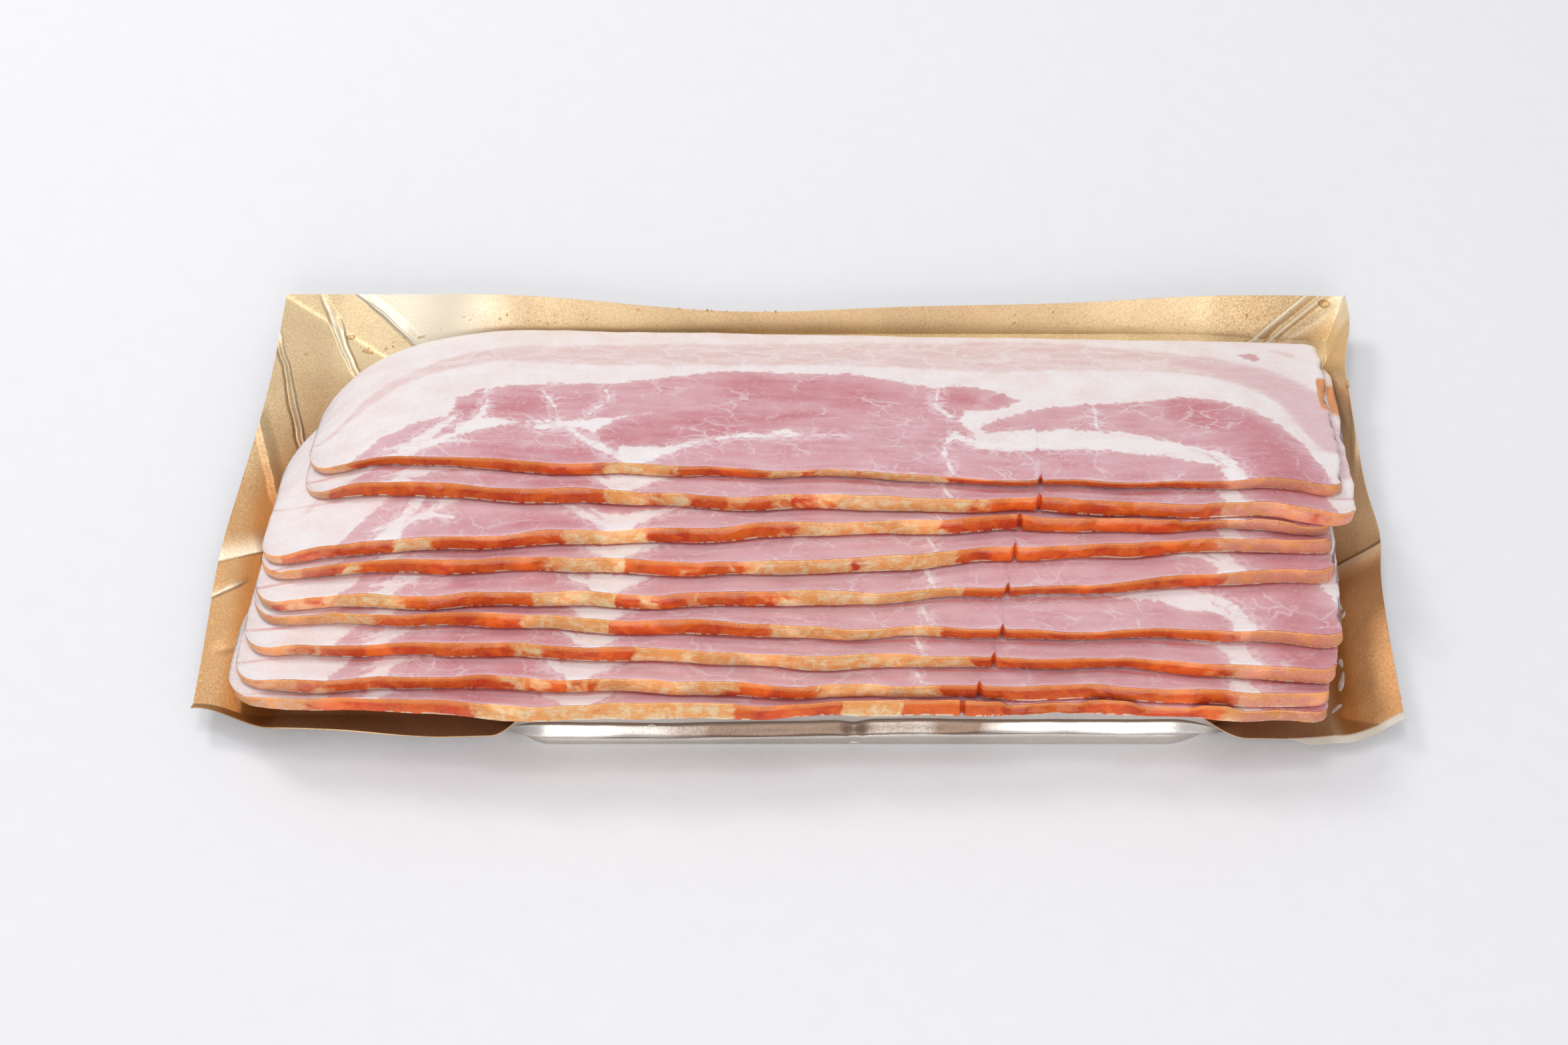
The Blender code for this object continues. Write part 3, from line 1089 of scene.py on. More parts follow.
@dataclass(frozen=True)
class Rasher:
    """One rasher, from its back edge over its upper face, round its smoked front and back beneath."""

    index: int                               # 0 for the top one
    left: float                              # x of its ends
    right: float
    lip: float                               # thickness of its front edge
    front: tuple[float, ...]                 # y of its front edge at the stations
    before: tuple[float, ...] | None         # the same of the rasher above
    slit: float                              # x of the slit in its front edge
    tuck: tuple[float, ...]                  # at the stations, how far its face turns in
    stack: Stack = Stack()
    belly: Belly = Belly()

    ROUND_LONG, ROUND_DEEP = 46.0, 40.0      # rounded back left corner
    NOSE, STUB, SLANT = 8.0, 3.0, 6.0        # front left corner, back right corner, right end's slope
    HEEL = 5.0                               # front right corner
    UNDERCUT = 1.15                          # how far the cut face's foot stands forward
    END = 1.1                                # rounding of both ends
    COLUMNS = 620                            # evenly spaced ones between the rounded ends
    WHOLE_ROWS, SHOWN_ROWS, HIDDEN_ROWS = 112, 40, 14    # rows of the upper face
    FACE_ROWS, UNDER_ROWS = 14, 8
    SET_BACK = 0.35                          # how far behind the face's foot the underside begins
    FACE_SPAN = 4.0                          # length of pattern that the smoked face takes up
    APART = (17.0, 31.0)                     # how far the next rasher's patterns are moved on
    # share of fat behind the smoked face, along the layout
    RIND_STATIONS = np.array((-112.0, -92.0, -84.0, -70.0, -48.0, -40.0, -24.0, -4.0, 8.0, 32.0,
                              42.0, 68.0, 86.0, 96.0, 112.0))
    RIND_FAT = (0.66, 0.62, 0.16, 0.10, 0.14, 0.80, 0.32, 0.42, 0.74, 0.74,
                0.10, 0.06, 0.12, 0.80, 0.75)
    # fat (above 0) and lean (below 0) that only one rasher has: place, half-width and share
    BLOTS = {
        0: ((-95.0, 9.0, -0.7),),
        1: ((-96.0, 8.0, -0.7), (-84.0, 4.0, 0.4)),
        2: ((-98.0, 9.0, -0.6), (-84.0, 6.0, 0.5)),
        3: ((-102.0, 5.0, -0.5),),
        4: ((-92.0, 10.0, 0.45),),
        5: ((-96.0, 14.0, 0.5), (-33.0, 8.0, -0.4), (-16.0, 10.0, -0.3)),
        6: ((-48.0, 9.0, -0.6), (-21.0, 18.0, 0.5), (24.0, 14.0, 0.4)),
        7: ((-56.0, 9.0, -0.5), (-31.0, 15.0, 0.6), (-4.0, 11.0, -0.6), (15.0, 6.0, 0.5)),
        8: ((-45.0, 24.0, 0.5), (-3.0, 12.0, -1.4), (13.0, 7.0, 0.6), (27.0, 9.0, -0.9)),
    }

    @property
    def name(self) -> str:
        """Name of the node that this rasher dresses."""
        return f"rasher_{self.index + 1}"

    def ripple(self, index: int, x: Array) -> Array:
        """Small waves of a rasher's front edge."""
        return 0.35 * np.sin(x / 7.3 + 0.8 * index) + 0.25 * np.sin(x / 3.9 + 1.7 * index)

    def notch(self, x: Array) -> Array:
        """Share of the slit's depth, a sharp V that leans to the right.

        Args:
            x: place along the rasher.

        Returns:
            1 in the slit's middle, 0 beside it.
        """
        away = x - self.slit
        reach = np.where(away < 0.0, 0.9, 0.4)
        return np.clip(1.0 - np.abs(away) / reach, 0.0, 1.0)

    def tucked(self, x: Array) -> Array:
        """Share, from 0 to 1, by which the smoked face turns in under the rasher."""
        share = smooth_curve(STATIONS, self.tuck, x) + 0.22 * waver(x, self.index + 6.0, 13.0)
        return np.clip(share, 0.0, 1.0)

    def front_line(self, x: Array) -> Array:
        """Front edge before its corners are rounded, with its slit."""
        line = smooth_curve(STATIONS, self.front, x) + self.ripple(self.index, x)
        return line + 1.4 * self.notch(x) + 0.12 * waver(x, self.index + 11.0, 3.1)

    def cover_line(self, x: Array) -> Array:
        """Where the rasher above ends, or a line just behind the front edge of the top one.

        Args:
            x: place along the rasher.

        Returns:
            The y of that line.
        """
        if self.before is None:
            return self.front_line(x) + 2.0
        line = smooth_curve(STATIONS, self.before, x) + self.ripple(self.index - 1, x)
        return line - self.UNDERCUT - self.stack.gap

    def columns(self) -> Array:
        """Places along the rasher of its columns of points.

        Returns:
            Rising places, close together at its rounded ends.
        """
        near = self.END * (1.0 - np.cos(np.linspace(0.05, 1.0, 9) * np.pi / 2))
        middle = np.linspace(self.left + 1.6, self.right - 1.6, self.COLUMNS)
        return np.concatenate((self.left + near, middle, self.right - near[::-1]))

    def outline(self, line: Array) -> tuple[Array, Array]:
        """Back and front edge of each column, with their rounded corners.

        Args:
            line: place of each column along the rasher.

        Returns:
            The y of both edges, one row for each column.
        """
        back = (self.stack.back_line(self.index, line)
                - corner(line - self.left, self.ROUND_LONG, self.ROUND_DEEP)
                - corner(self.right - line, self.STUB, self.STUB)
                + 0.25 * waver(line, self.index + 5.0, 6.0))
        front = (self.front_line(line) + corner(line - self.left, self.NOSE, self.NOSE)
                 + corner(self.right - line, self.HEEL, 0.6 * self.HEEL))
        return back[:, None], front[:, None]

    def upper_rows(self, back: Array, front: Array, room: Array) -> Array:
        """Rows of the upper face from the back edge to the front, closest in what shows.

        Args:
            back: back edge of each column.
            front: front edge of each column.
            room: how much of the column shows in front of the rasher above.

        Returns:
            The y of each row in each column.
        """
        if self.before is None:
            share = 1.0 - np.linspace(0.0, 1.0, self.WHOLE_ROWS) ** 1.05
            return front + (back - front) * share[None, :]
        far = np.minimum(np.clip(room, 3.0, 24.0) + 2.0, 0.8 * (back - front))
        share = (1.0 - np.linspace(0.0, 1.0, self.SHOWN_ROWS)) ** 1.25
        t = np.linspace(0.0, 1.0, self.HIDDEN_ROWS, endpoint=False)[None, :]
        hidden = back + (front + far - back) * t
        return np.concatenate((hidden, front + far * share[None, :]), axis=1)

    def upper_face(self, x: Array, y: Array, back: Array, front: Array, room: Array) -> Array:
        """Height of the upper face: the underside, the meat, a swollen lip and rounded edges.

        Args:
            x: place of each column along the rasher.
            y: its rows, front to back.
            back: back edge of each column.
            front: front edge of each column.
            room: how much of the column shows in front of the rasher above.

        Returns:
            The z of each row in each column.
        """
        wide = np.broadcast_to(x, y.shape)
        kept = self.stack.slump(wide, y)
        edge = y - front
        swell = (self.lip - self.stack.meat) * ramp(room, 0.6, 1.0)
        swell = swell * (1.0 - 0.8 * self.tucked(x)) * ease((x - self.left) / 14.0)
        swell = swell * (0.90 + 0.30 * waver(x, self.index + 2.0, 8.0))
        thin_end = 1.0 - 0.40 * ease(1.0 - (x - self.left) / 9.0)
        thick = self.stack.meat * thin_end * (kept + (1.0 - kept) * ease(1.0 - edge / 1.2))
        thick = thick + swell * ease(1.0 - edge / np.clip(room, 0.7, 9.0)) ** 1.6
        wave = 0.10 * waver(wide * 0.8 + y, self.index + 1.0, 8.0)
        arris = corner(edge, 0.55, 0.55) + corner(back - y, 0.9, 0.9)
        return self.stack.underside(self.index, wide, y) + thick + wave * ease(edge / 2.0) - arris

    def smoked_face(self, x: Array, front: Array, lead: Array) -> tuple[Array, Array]:
        """The face that bulges from the upper face's front down to the foot.

        Args:
            x: place of each column along the rasher.
            front: front edge of each column.
            lead: height of the upper face there.

        Returns:
            The y and z of each row in each column.
        """
        down = np.linspace(0.0, 1.0, self.FACE_ROWS + 1)[None, 1:]
        tucked = self.tucked(x)
        foot = self.foot(x, front)
        foot_z = self.stack.underside(self.index, x, foot) - 0.25
        crease = 0.10 * waver(x + 2.0 * down, self.index + 7.0, 2.1)
        bulge = 0.36 + 0.14 * waver(x, self.index + 9.0, 5.0) + crease
        bulge = bulge * np.sin(np.pi * down) ** 0.8
        y = front + (foot - front) * down - bulge * (1.0 - 0.6 * tucked)
        y = y + 0.28 * np.clip((down - 0.82) / 0.18, 0.0, 1.0) ** 2
        return y, lead + (foot_z - lead) * down

    def foot(self, x: Array, front: Array) -> Array:
        """Where the smoked face meets the underside: in front of its top, or behind it if tucked."""
        return front - self.UNDERCUT * (1.0 - 1.75 * self.tucked(x))

    def under_face(self, x: Array, back: Array, front: Array) -> tuple[Array, Array]:
        """The underside, from the foot to the back edge.

        Args:
            x: place of each column along the rasher.
            back: back edge of each column.
            front: front edge of each column.

        Returns:
            The y and z of each row in each column.
        """
        t = np.linspace(0.0, 1.0, self.UNDER_ROWS + 1)[None, 1:]
        start = self.foot(x, front) + self.SET_BACK
        y = start + (back - start) * t
        z = self.stack.underside(self.index, np.broadcast_to(x, y.shape), y)
        return y, z - 0.22 + 0.9 * (t >= 1.0)

    def slanted(self, x: Array, y: Array, back: Array, front: Array) -> Array:
        """Place along the rasher of every point, with its slanted, lumpy right end.

        Args:
            x: place of each column.
            y: place of each point, front to back.
            back: back edge of each column.
            front: front edge of each column.

        Returns:
            The x of every point.
        """
        wide = np.broadcast_to(x, y.shape)
        across = np.clip((y - front) / (back - front), 0.0, 1.0)
        lumps = 0.6 * waver(y, self.index + 8.0, 5.0) + 0.35 * waver(y, self.index + 3.5, 1.7)
        wide = wide + lumps * ease((wide - self.right + 9.0) / 9.0)
        return wide + self.SLANT * across * ((wide - self.left) / (self.right - self.left)) ** 6

    def build(self) -> bpy.types.Object:
        """Mesh of the rasher with its tissue fields.

        Each column is one closed loop.  Its upper rows run from the back edge
        to the front, the face's rows bulge down to the foot, and the lower
        rows return; both ends are closed by a flat face inside their rounding.

        Returns:
            The rasher.
        """
        line = self.columns()
        x = line[:, None]
        back, front = self.outline(line)
        room = self.cover_line(line)[:, None] - front
        upper_y = self.upper_rows(back, front, room)
        upper_z = self.upper_face(x, upper_y, back, front, room)
        face_y, face_z = self.smoked_face(x, front, upper_z[:, -1:])
        under_y, under_z = self.under_face(x, back, front)
        y = np.concatenate((upper_y, face_y, under_y), axis=1)
        z = np.concatenate((upper_z, face_z, under_z), axis=1)
        xs = self.slanted(x, y, back, front)

        inset = np.minimum(line - self.left, self.right - line)
        round_off = np.sqrt(1.0 - np.clip(1.0 - inset / self.END, 0.0, 0.985) ** 2)[:, None]
        middle = self.stack.underside(self.index, xs, y) + 0.45 * self.stack.meat
        points = np.stack((xs, y, middle + (z - middle) * round_off), axis=-1)
        columns, rows = y.shape
        faces = grid_faces(columns, rows, wrap=True).tolist()
        faces.append(list(range(rows)))
        faces.append(list(range((columns - 1) * rows, columns * rows)))
        made = make_object(f"{self.name}_meat", points.reshape(-1, 3), faces)
        face_outwards(made)
        made.data.shade_smooth()
        self.paint(made, xs, y, back, front, upper_y.shape[1])
        return made

    def smoke(self, x: Array, y: Array, back: Array, front: Array, down: Array,
              upper_rows: int) -> Array:
        """How smoked every point is: 1 on the smoked face, fading over its upper arris.

        Args:
            x: place along the rasher of each point, column by row.
            y: place across it.
            back: back edge of each column.
            front: front edge of each column.
            down: how far down the smoked face a point is.
            upper_rows: how many rows lie on the upper face.

        Returns:
            The share, 0 on a cut face.
        """
        from_front = y - front
        under = np.arange(x.shape[1]) >= upper_rows + self.FACE_ROWS
        smoke = np.where(down > 0.0, 1.0, ease(1.0 - from_front / 0.55) * 0.75)
        smoke = np.where(under & (from_front > 1.0), 0.0, smoke)
        smoke = np.maximum(smoke, 0.46 * ease(1.0 - (x - self.left) / 1.5))
        if self.index > 1:
            return smoke
        end = self.right + self.SLANT * np.clip(from_front / (back - front), 0.0, 1.0)
        stub = ease((x - end + 3.0) / 1.8) * ease(1.6 * (1.0 - np.abs(y - 26.0) / 10.0))
        return np.maximum(smoke, 0.8 * stub)

    def rind_fat(self, x: Array, streak: Array) -> Array:
        """Share of fat behind the smoked face, with the patches that only this rasher has.

        Args:
            x: place along the rasher.
            streak: the stored field of streaks at the front edge.

        Returns:
            The share, from 0 to 1.
        """
        along = self.belly.shifted(self.index, x) + 2.0 * self.index * ramp(x, 20.0, -40.0)
        laid = smooth_curve(self.RIND_STATIONS, self.RIND_FAT, along)
        for place, reach, share in self.BLOTS.get(self.index, ()):
            laid = laid + share * ease(1.5 * (1.0 - np.abs(x - place) / (1.2 * reach)))
        patches = 0.30 * waver(along, self.index + 0.5, 8.0)
        return np.clip(laid + patches + 0.40 * ramp(streak, 0.44, 0.56), 0.0, 1.0)

    def slit_and_contact_shade(self, x: Array, y: Array, front: Array, down: Array) -> Array:
        """Where the slit's colour goes: in the slit itself, and as painted shade with reflected
        orange just in front of the rasher above.

        Args:
            x: place along the rasher of each point, column by row.
            y: place across it.
            front: front edge of each column.
            down: how far down the smoked face a point is.

        Returns:
            The share, from 0 to 1.
        """
        slit = ease((self.notch(x) - 0.15) / 0.5) * ease(1.0 - (y - front) / 1.2)
        if self.before is None:
            return slit
        cover = self.cover_line(x[:, 0])[:, None] + self.stack.gap
        # Painted shade with reflected orange on the strip just in front of the foot of the rasher
        # above.
        painted_contact_shade = 0.66 * ease(1.0 - np.abs(y - cover - 0.1) / 1.2) * (down <= 0.0)
        return np.maximum(slit, painted_contact_shade * (0.8 + 0.2 * waver(x, self.index + 4.0, 5.0)))

    def paint(self, made: bpy.types.Object, x: Array, y: Array, back: Array, front: Array,
              upper_rows: int) -> None:
        """Stores the tissue and the smoked edge at every point.

        Args:
            made: the rasher.
            x: place along it of each point, column by row.
            y: place across it.
            back: back edge of each column.
            front: front edge of each column.
            upper_rows: how many rows lie on the upper face.
        """
        depth = self.belly.width * (back - y) / (back - front)
        depth = np.where(y < front, self.belly.width + (front - y), depth)
        tissue = self.belly.fields(self.index, x, depth)
        number = np.arange(x.shape[1]) - upper_rows + 1
        down = np.broadcast_to(np.clip(number / self.FACE_ROWS, 0.0, 1.0), x.shape)
        smoke = self.smoke(x, y, back, front, down, upper_rows)
        rind_fat = self.rind_fat(x, tissue[:, upper_rows - 1:upper_rows, 2])
        rosy = 0.95 * ramp(x, 84.0, 92.0) + 0.55 * ramp(x, -94.0, -106.0)
        tissue[..., 3] = np.where(smoke > 0.3, rosy, tissue[..., 3])
        edge = np.stack((smoke, rind_fat, down, self.slit_and_contact_shade(x, y, front, down)), axis=-1)
        give_field(made, "tissue", tissue.reshape(-1, 4))
        give_field(made, "edge", edge.reshape(-1, 4))
        across = depth + self.FACE_SPAN * down + self.APART[1] * self.index
        uv = np.stack((x + self.APART[0] * self.index, across), axis=-1) / SPAN
        give_uv(made, "slice", uv.reshape(-1, 2))


@dataclass(frozen=True)
class Pile:
    """All nine rashers, from the top one down."""

    # left end, right end, thickness of the front lip, the front edge's y at the
    # five stations, where its slit is, and at the stations how far its face tucks in
    cuts: tuple[tuple[float, float, float, tuple[float, ...], float, tuple[float, ...]], ...] = (
        (-110.5, 116.5, 3.2, (-3.9, -5.1, -7.7, -10.7, -10.2), 50.5, (0.7, 0.0, 0.5, 0.9, 0.1)),
        (-110.5, 118.5, 4.2, (-10.4, -12.3, -14.8, -15.5, -17.1), 50.0, (0.4, 0.0, 0.1, 0.0, 0.1)),
        (-117.0, 112.8, 4.2, (-28.3, -24.0, -21.2, -18.8, -18.9), 45.8, (0.4, 0.0, 0.0, 0.0, 0.2)),
        (-117.0, 113.6, 4.2, (-31.4, -29.2, -30.2, -25.3, -22.2), 44.4, (0.3, 0.0, 0.0, 0.0, 0.1)),
        (-117.5, 113.6, 4.2, (-38.5, -37.5, -37.1, -34.6, -29.1), 42.4, (0.4, 0.0, 0.0, 0.6, 0.0)),
        (-118.0, 112.5, 4.2, (-40.6, -41.8, -44.4, -45.2, -45.5), 40.8, (0.4, 0.0, 0.1, 0.7, 0.0)),
        (-119.3, 110.8, 4.2, (-47.8, -48.0, -50.7, -51.2, -54.1), 38.8, (0.4, 0.1, 0.1, 0.4, 0.0)),
        (-120.3, 108.4, 4.2, (-55.4, -55.3, -57.1, -57.3, -59.5), 35.5, (0.4, 0.1, 0.2, 0.1, 0.0)),
        (-122.0, 107.7, 4.9, (-58.1, -61.3, -60.7, -59.5, -61.8), 32.0, (0.3, 0.0, 0.0, 0.0, 0.0)),
    )

    def rashers(self) -> list[Rasher]:
        """The rashers, each told where the one above it ends.

        Returns:
            One for each row of cuts.
        """
        made = []
        for index, (left, right, lip, front, slit, tuck) in enumerate(self.cuts):
            before = self.cuts[index - 1][3] if index else None
            made.append(Rasher(index, left, right, lip, front, before, slit, tuck))
        return made

    def build(self, meat: bpy.types.Material) -> list[bpy.types.Object]:
        """Builds and dresses every rasher.

        Args:
            meat: the finish they share.

        Returns:
            The rashers, riding on the pack, from the top one down.
        """
        made = []
        for rasher in self.rashers():
            piece = rasher.build()
            piece.data.materials.append(meat)
            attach(piece, BODY)
            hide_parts(rasher.name)
            report(piece)
            made.append(piece)
        return made


# ---- the tray ---------------------------------------------------------------------


@dataclass(frozen=True)
class Tray:
    """Thin formed tray of foil: floor, sloping walls and a narrow flange at the left."""

    foil: float = 0.8             # thickness of the floor, and that of the rim
    rim_foil: float = 0.22
    rim_left: float = -130.2      # x of both side rims and y of the back one
    rim_right: float = 126.2
    rim_back: float = 54.2
    foot_left: tuple[float, ...] = (-111.0, -112.0, -111.0, -104.0, -96.0)
    foot_right: tuple[float, ...] = (111.0, 112.5, 116.0, 121.0, 125.4)
    foot_front: float = -60.0
    foot_back: float = 53.0
    front_flare: float = 6.5      # how far the front wall's foot draws back at both ends
    side_rise: float = 6.0        # heights of the walls
    back_rise: float = 7.0
    front_low: float = 3.0
    corner_rise: float = 2.0
    corner_cut: float = 5.0       # how far the front corners are cut back
    wall_steps: int = 35
    along_steps: int = 230
    across_steps: int = 88
    notch: float = 9.7            # x of the notch and dent in the front wall
    creases: tuple[Crease, ...] = (
        Crease((-117.6, 60.0), (-105.6, 35.0), 2.0, 0.9, 0.65, 0.85),
        Crease((-113.2, 54.6), (-104.4, 35.0), 0.7, 0.8, 0.45, 0.6),
        Crease((-112.0, 62.0), (-89.0, 44.4), 2.4, 0.8, 0.6, 0.7),
        Crease((-107.0, 58.0), (-90.0, 44.4), 0.7, 0.8, 0.4, 0.6),
        Crease((-127.6, 53.0), (-113.4, 6.0), 1.6, 0.9, -0.6),
        Crease((-126.1, 51.0), (-111.8, 6.0), 0.7, 1.2, 0.5, 0.35),
        Crease((-133.0, -18.4), (-117.0, -13.2), 8.5, 0.7, 0.7, 0.62),
        Crease((-133.0, -28.4), (-122.6, -22.0), 2.2, 0.8, 0.5, 0.5),
        Crease((-128.5, 27.0), (-116.0, -8.0), 3.0, 2.0, 0.5, 0.1),
        Crease((-128.5, -41.0), (-115.0, -35.0), 4.0, 2.0, 0.4, 0.1),
        Crease((90.0, 41.6), (130.0, 62.6), 0.7, 1.3, 0.7, 0.8),
        Crease((106.0, 47.6), (131.0, 60.8), 0.7, 0.8, 0.45, 0.7),
        Crease((99.0, 43.0), (138.0, 60.0), 2.0, 4.0, 0.7, 0.35),
        Crease((134.0, 56.0), (118.5, 36.5), 1.1, 1.1, -0.6),
        Crease((133.0, 52.6), (120.0, 36.5), 1.2, 0.7, 0.4, 0.3),
        Crease((109.0, -19.6), (136.0, -10.4), 0.8, 4.6, 0.8, 0.35),
        Crease((127.4, 33.0), (124.2, 2.0), 1.0, 1.0, 0.3, 0.2),
    )

    WALL_STATIONS = np.array((-60.0, -30.0, -5.0, 20.0, 50.0))     # y of the side walls' feet
    LINES = ((0.24, 0.045), (0.60, 0.05))    # height share and reach of the front's pressed lines
    ROLL, PRESS = 1.4, 0.20                  # how far the roll stands out and the lines lie in
    SHARP = radians(40.0)                    # a fold sharper than this keeps its edge

    def held_share(self, x: Array) -> Array:
        """1 where the front wall stands up to the lowest rasher, 0 towards both ends."""
        return ramp(x, -67.0, -55.0) * ramp(x, 93.0, 76.0)

    def front_rise(self, x: Array) -> Array:
        """Rise of the front rim: up to the lowest rasher, low towards both ends.

        Args:
            x: place along the wall.

        Returns:
            Millimetres above the floor, with a small notch.
        """
        stack = Stack()
        rest = stack.underside(stack.count - 1, x, np.full_like(x, self.foot_front + 0.9))
        rest = rest - stack.gap - self.foil
        left = self.front_low + 3.0 * ramp(x, -76.0, -102.0)
        right = 1.6 + 4.0 * ramp(x, 100.0, 124.0)
        low = np.where(x < 0.0, left, right)
        rise = low + (rest - low) * self.held_share(x)
        return rise - 1.7 * np.clip(1.0 - np.abs(x - self.notch) / 3.6, 0.0, 1.0) ** 1.2

    def runs(self) -> tuple[Array, ...]:
        """How far along the floor, and how far up each wall, the grid's lines are.

        Returns:
            Up the left, right, front and back wall, then along the floor in x
            and in y, each from 0 to 1 and set to spread over the grid.
        """
        wall = 1.0 - np.linspace(0.0, 1.0, self.wall_steps, endpoint=False)
        even = np.linspace(0.0, 1.0, self.along_steps)
        floor_x = 0.55 * even + 0.45 * (0.5 - 0.5 * np.cos(np.pi * even))
        floor_y = np.linspace(0.0, 1.0, self.across_steps)
        none_x, none_y, none = 0.0 * floor_x, 0.0 * floor_y, 0.0 * wall
        return (np.concatenate((wall, none_x, none))[:, None],
                np.concatenate((none, none_x, wall[::-1]))[:, None],
                np.concatenate((wall, none_y, none))[None, :],
                np.concatenate((none, none_y, wall[::-1]))[None, :],
                np.concatenate((none, floor_x, none + 1.0))[:, None],
                np.concatenate((none, floor_y, none + 1.0))[None, :])

    def left_lift(self, up: Array, y: Array) -> Array:
        """Share of the left wall's rise: straight at the back, a wall and a flange in front.

        Args:
            up: how far up the wall each point is.
            y: its place, front to back.

        Returns:
            The share, from 0 to 1.
        """
        crease = 0.45 + 0.05 * waver(y, 4.0, 9.0)
        flange = np.minimum(0.86 * up / crease, 0.86 + 0.14 * (up - crease) / (1.0 - crease))
        return flange + (up - flange) * ramp(y, -5.0, 35.0)

    def sheet(self) -> tuple[Array, Array, Array]:
        """Inner face of the tray as a grid from left to right and front to back.

        The floor is flat; each wall is a weight that grows from 0 at its foot
        to 1 at its rim, moves the point out to the rim and raises it, and at a
        corner the higher of two walls is taken, which leaves a crease.

        Returns:
            The grid's points, how far up the walls each is, and how far up the
            front wall.
        """
        to_left, to_right, to_front, to_back, run_x, run_y = self.runs()
        plain_y = self.foot_front + run_y * (self.foot_back - self.foot_front) + 0.0 * run_x
        foot_left = smooth_curve(self.WALL_STATIONS, self.foot_left, plain_y)
        foot_right = smooth_curve(self.WALL_STATIONS, self.foot_right, plain_y)
        plain_x = foot_left + run_x * (foot_right - foot_left)
        foot_back = (self.foot_back - 13.0 * ramp(plain_x, -70.0, -102.0)
                     - 2.0 * ramp(plain_x, 90.0, 120.0))
        foot_front = self.foot_front + self.front_flare * (1.0 - self.held_share(plain_x))
        to_corner = ease(np.abs(plain_x) / 100.0)
        at_back = ease(plain_y / self.foot_back)
        at_front = ease(-plain_y / 50.0)

        rim_left = self.rim_left + 5.6 * ramp(plain_y, -25.0, 55.0)
        kink = 1.4 * np.exp(-((plain_y + 14.0) / 9.0) ** 2)
        rim_right = self.rim_right + 3.2 * ramp(plain_y, 34.0, 54.0) + kink - 0.6 * at_front
        spread = np.where(plain_x < 0.0, 4.6, 3.4)
        rim_back = self.rim_back + spread * to_corner + 0.3 * np.sin(plain_x / 13.0)
        rim_front = (self.foot_front - 0.4 + 1.8 * self.held_share(plain_x)
                     + 0.3 * np.sin(plain_x / 11.0))
        x = plain_x + to_left * (rim_left - foot_left) + to_right * (rim_right - foot_right)
        y = foot_front + run_y * (foot_back - foot_front)
        y = y + to_front * (rim_front - foot_front) + to_back * (rim_back - foot_back)
        y = y + self.corner_cut * ramp(np.abs(x), 112.0, 129.0) * ramp(y, -30.0, -58.0)

        side = self.side_rise + self.corner_rise * at_back - 1.4 * at_front
        back_wall = self.back_rise + 1.2 * to_corner + 0.4 * np.sin(plain_x / 15.0)
        z = np.maximum.reduce((self.left_lift(to_left, plain_y) * side,
                               to_right ** 1.25 * (side + 1.0), to_back * back_wall,
                               to_front * self.front_rise(plain_x)))
        flat = 0.0 * y
        up = np.maximum.reduce((to_left + flat, to_right + flat, to_back + flat, to_front + flat))
        return np.stack((x, y, self.foil + z), axis=-1), up, to_front + flat

    def normals(self, sheet: Array) -> Array:
        """Upward unit normals of a grid of points.

        Args:
            sheet: the grid, from left to right and front to back.

        Returns:
            A normal for each point.
        """
        normal = np.cross(np.gradient(sheet, axis=0), np.gradient(sheet, axis=1))
        return normal / np.linalg.norm(normal, axis=-1, keepdims=True)

    def crumple(self, sheet: Array, up: Array) -> Array:
        """The sheet with slight dents, which fade out on the floor.

        Args:
            sheet: the plain sheet.
            up: how far up the walls each of its points is.

        Returns:
            The dented sheet.
        """
        x, y = sheet[..., 0], sheet[..., 1]
        lift = 0.16 * waver(x + 0.6 * y, 2.0, 9.0) * waver(y - 0.3 * x, 5.0, 7.0)
        shift = lift * ease(up / 0.25)
        return sheet + self.normals(sheet) * shift[..., None]

    def pressed(self, x: Array, up_front: Array) -> Array:
        """How far up the front wall a point is to its pressed lines, which sink to the left."""
        return up_front + 0.10 * ramp(x, 30.0, -40.0) - 0.04 + 0.03 * waver(x, 9.0, 22.0)

    def outer_face(self, sheet: Array, up: Array, up_front: Array) -> Array:
        """The sheet set off outwards: thin at the rim, flat on the table below.

        On the front wall the distance also rolls in and out, which gives the
        two pressed lines with a rounded band between them.

        Args:
            sheet: the inner face.
            up: how far up the walls each point is.
            up_front: how far up the front wall.

        Returns:
            The outer face's points.
        """
        x = sheet[..., 0]
        crest = self.pressed(x, up_front)
        roll = ramp(crest, 0.56, 0.37) * ramp(crest, 0.25, 0.36)
        roll = roll * (0.72 + 0.28 * waver(x, 3.0, 13.0))
        line = sum(np.exp(-((crest - height) / reach) ** 2) for height, reach in self.LINES)
        dent = 0.5 * np.clip(1.0 - np.abs(x - self.notch) / 1.3, 0.0, 1.0)
        off = self.rim_foil + (self.foil - self.rim_foil) * ease(1.0 - up / 0.8)
        off = off + ease(up_front / 0.06) * (self.ROLL * roll - self.PRESS * line - dent)
        outer = sheet - np.clip(off, 0.12, 2.0)[..., None] * self.normals(sheet)
        outer[..., 2] = np.where(up < 1e-6, 0.0, np.maximum(outer[..., 2], 0.0))
        return outer

    def shell(self, columns: int, rows: int) -> tuple[Array, Array, Array]:
        """Faces of the closed shell: inner grid, outer grid, and the rim that joins them.

        Args:
            columns: how many points each face has from left to right.
            rows: how many it has from front to back.

        Returns:
            Quads of the inner face, of the outer face and of the rim.
        """
        count = columns * rows
        number = np.arange(count).reshape(columns, rows)
        ring = np.concatenate((number[:-1, 0], number[-1, :-1],
                               number[:0:-1, -1], number[0, :0:-1]))
        turn = np.roll(ring, -1)
        rim = np.stack((ring, ring + count, turn + count, turn), axis=-1)
        return grid_faces(columns, rows), grid_faces(columns, rows, first=count)[:, ::-1], rim

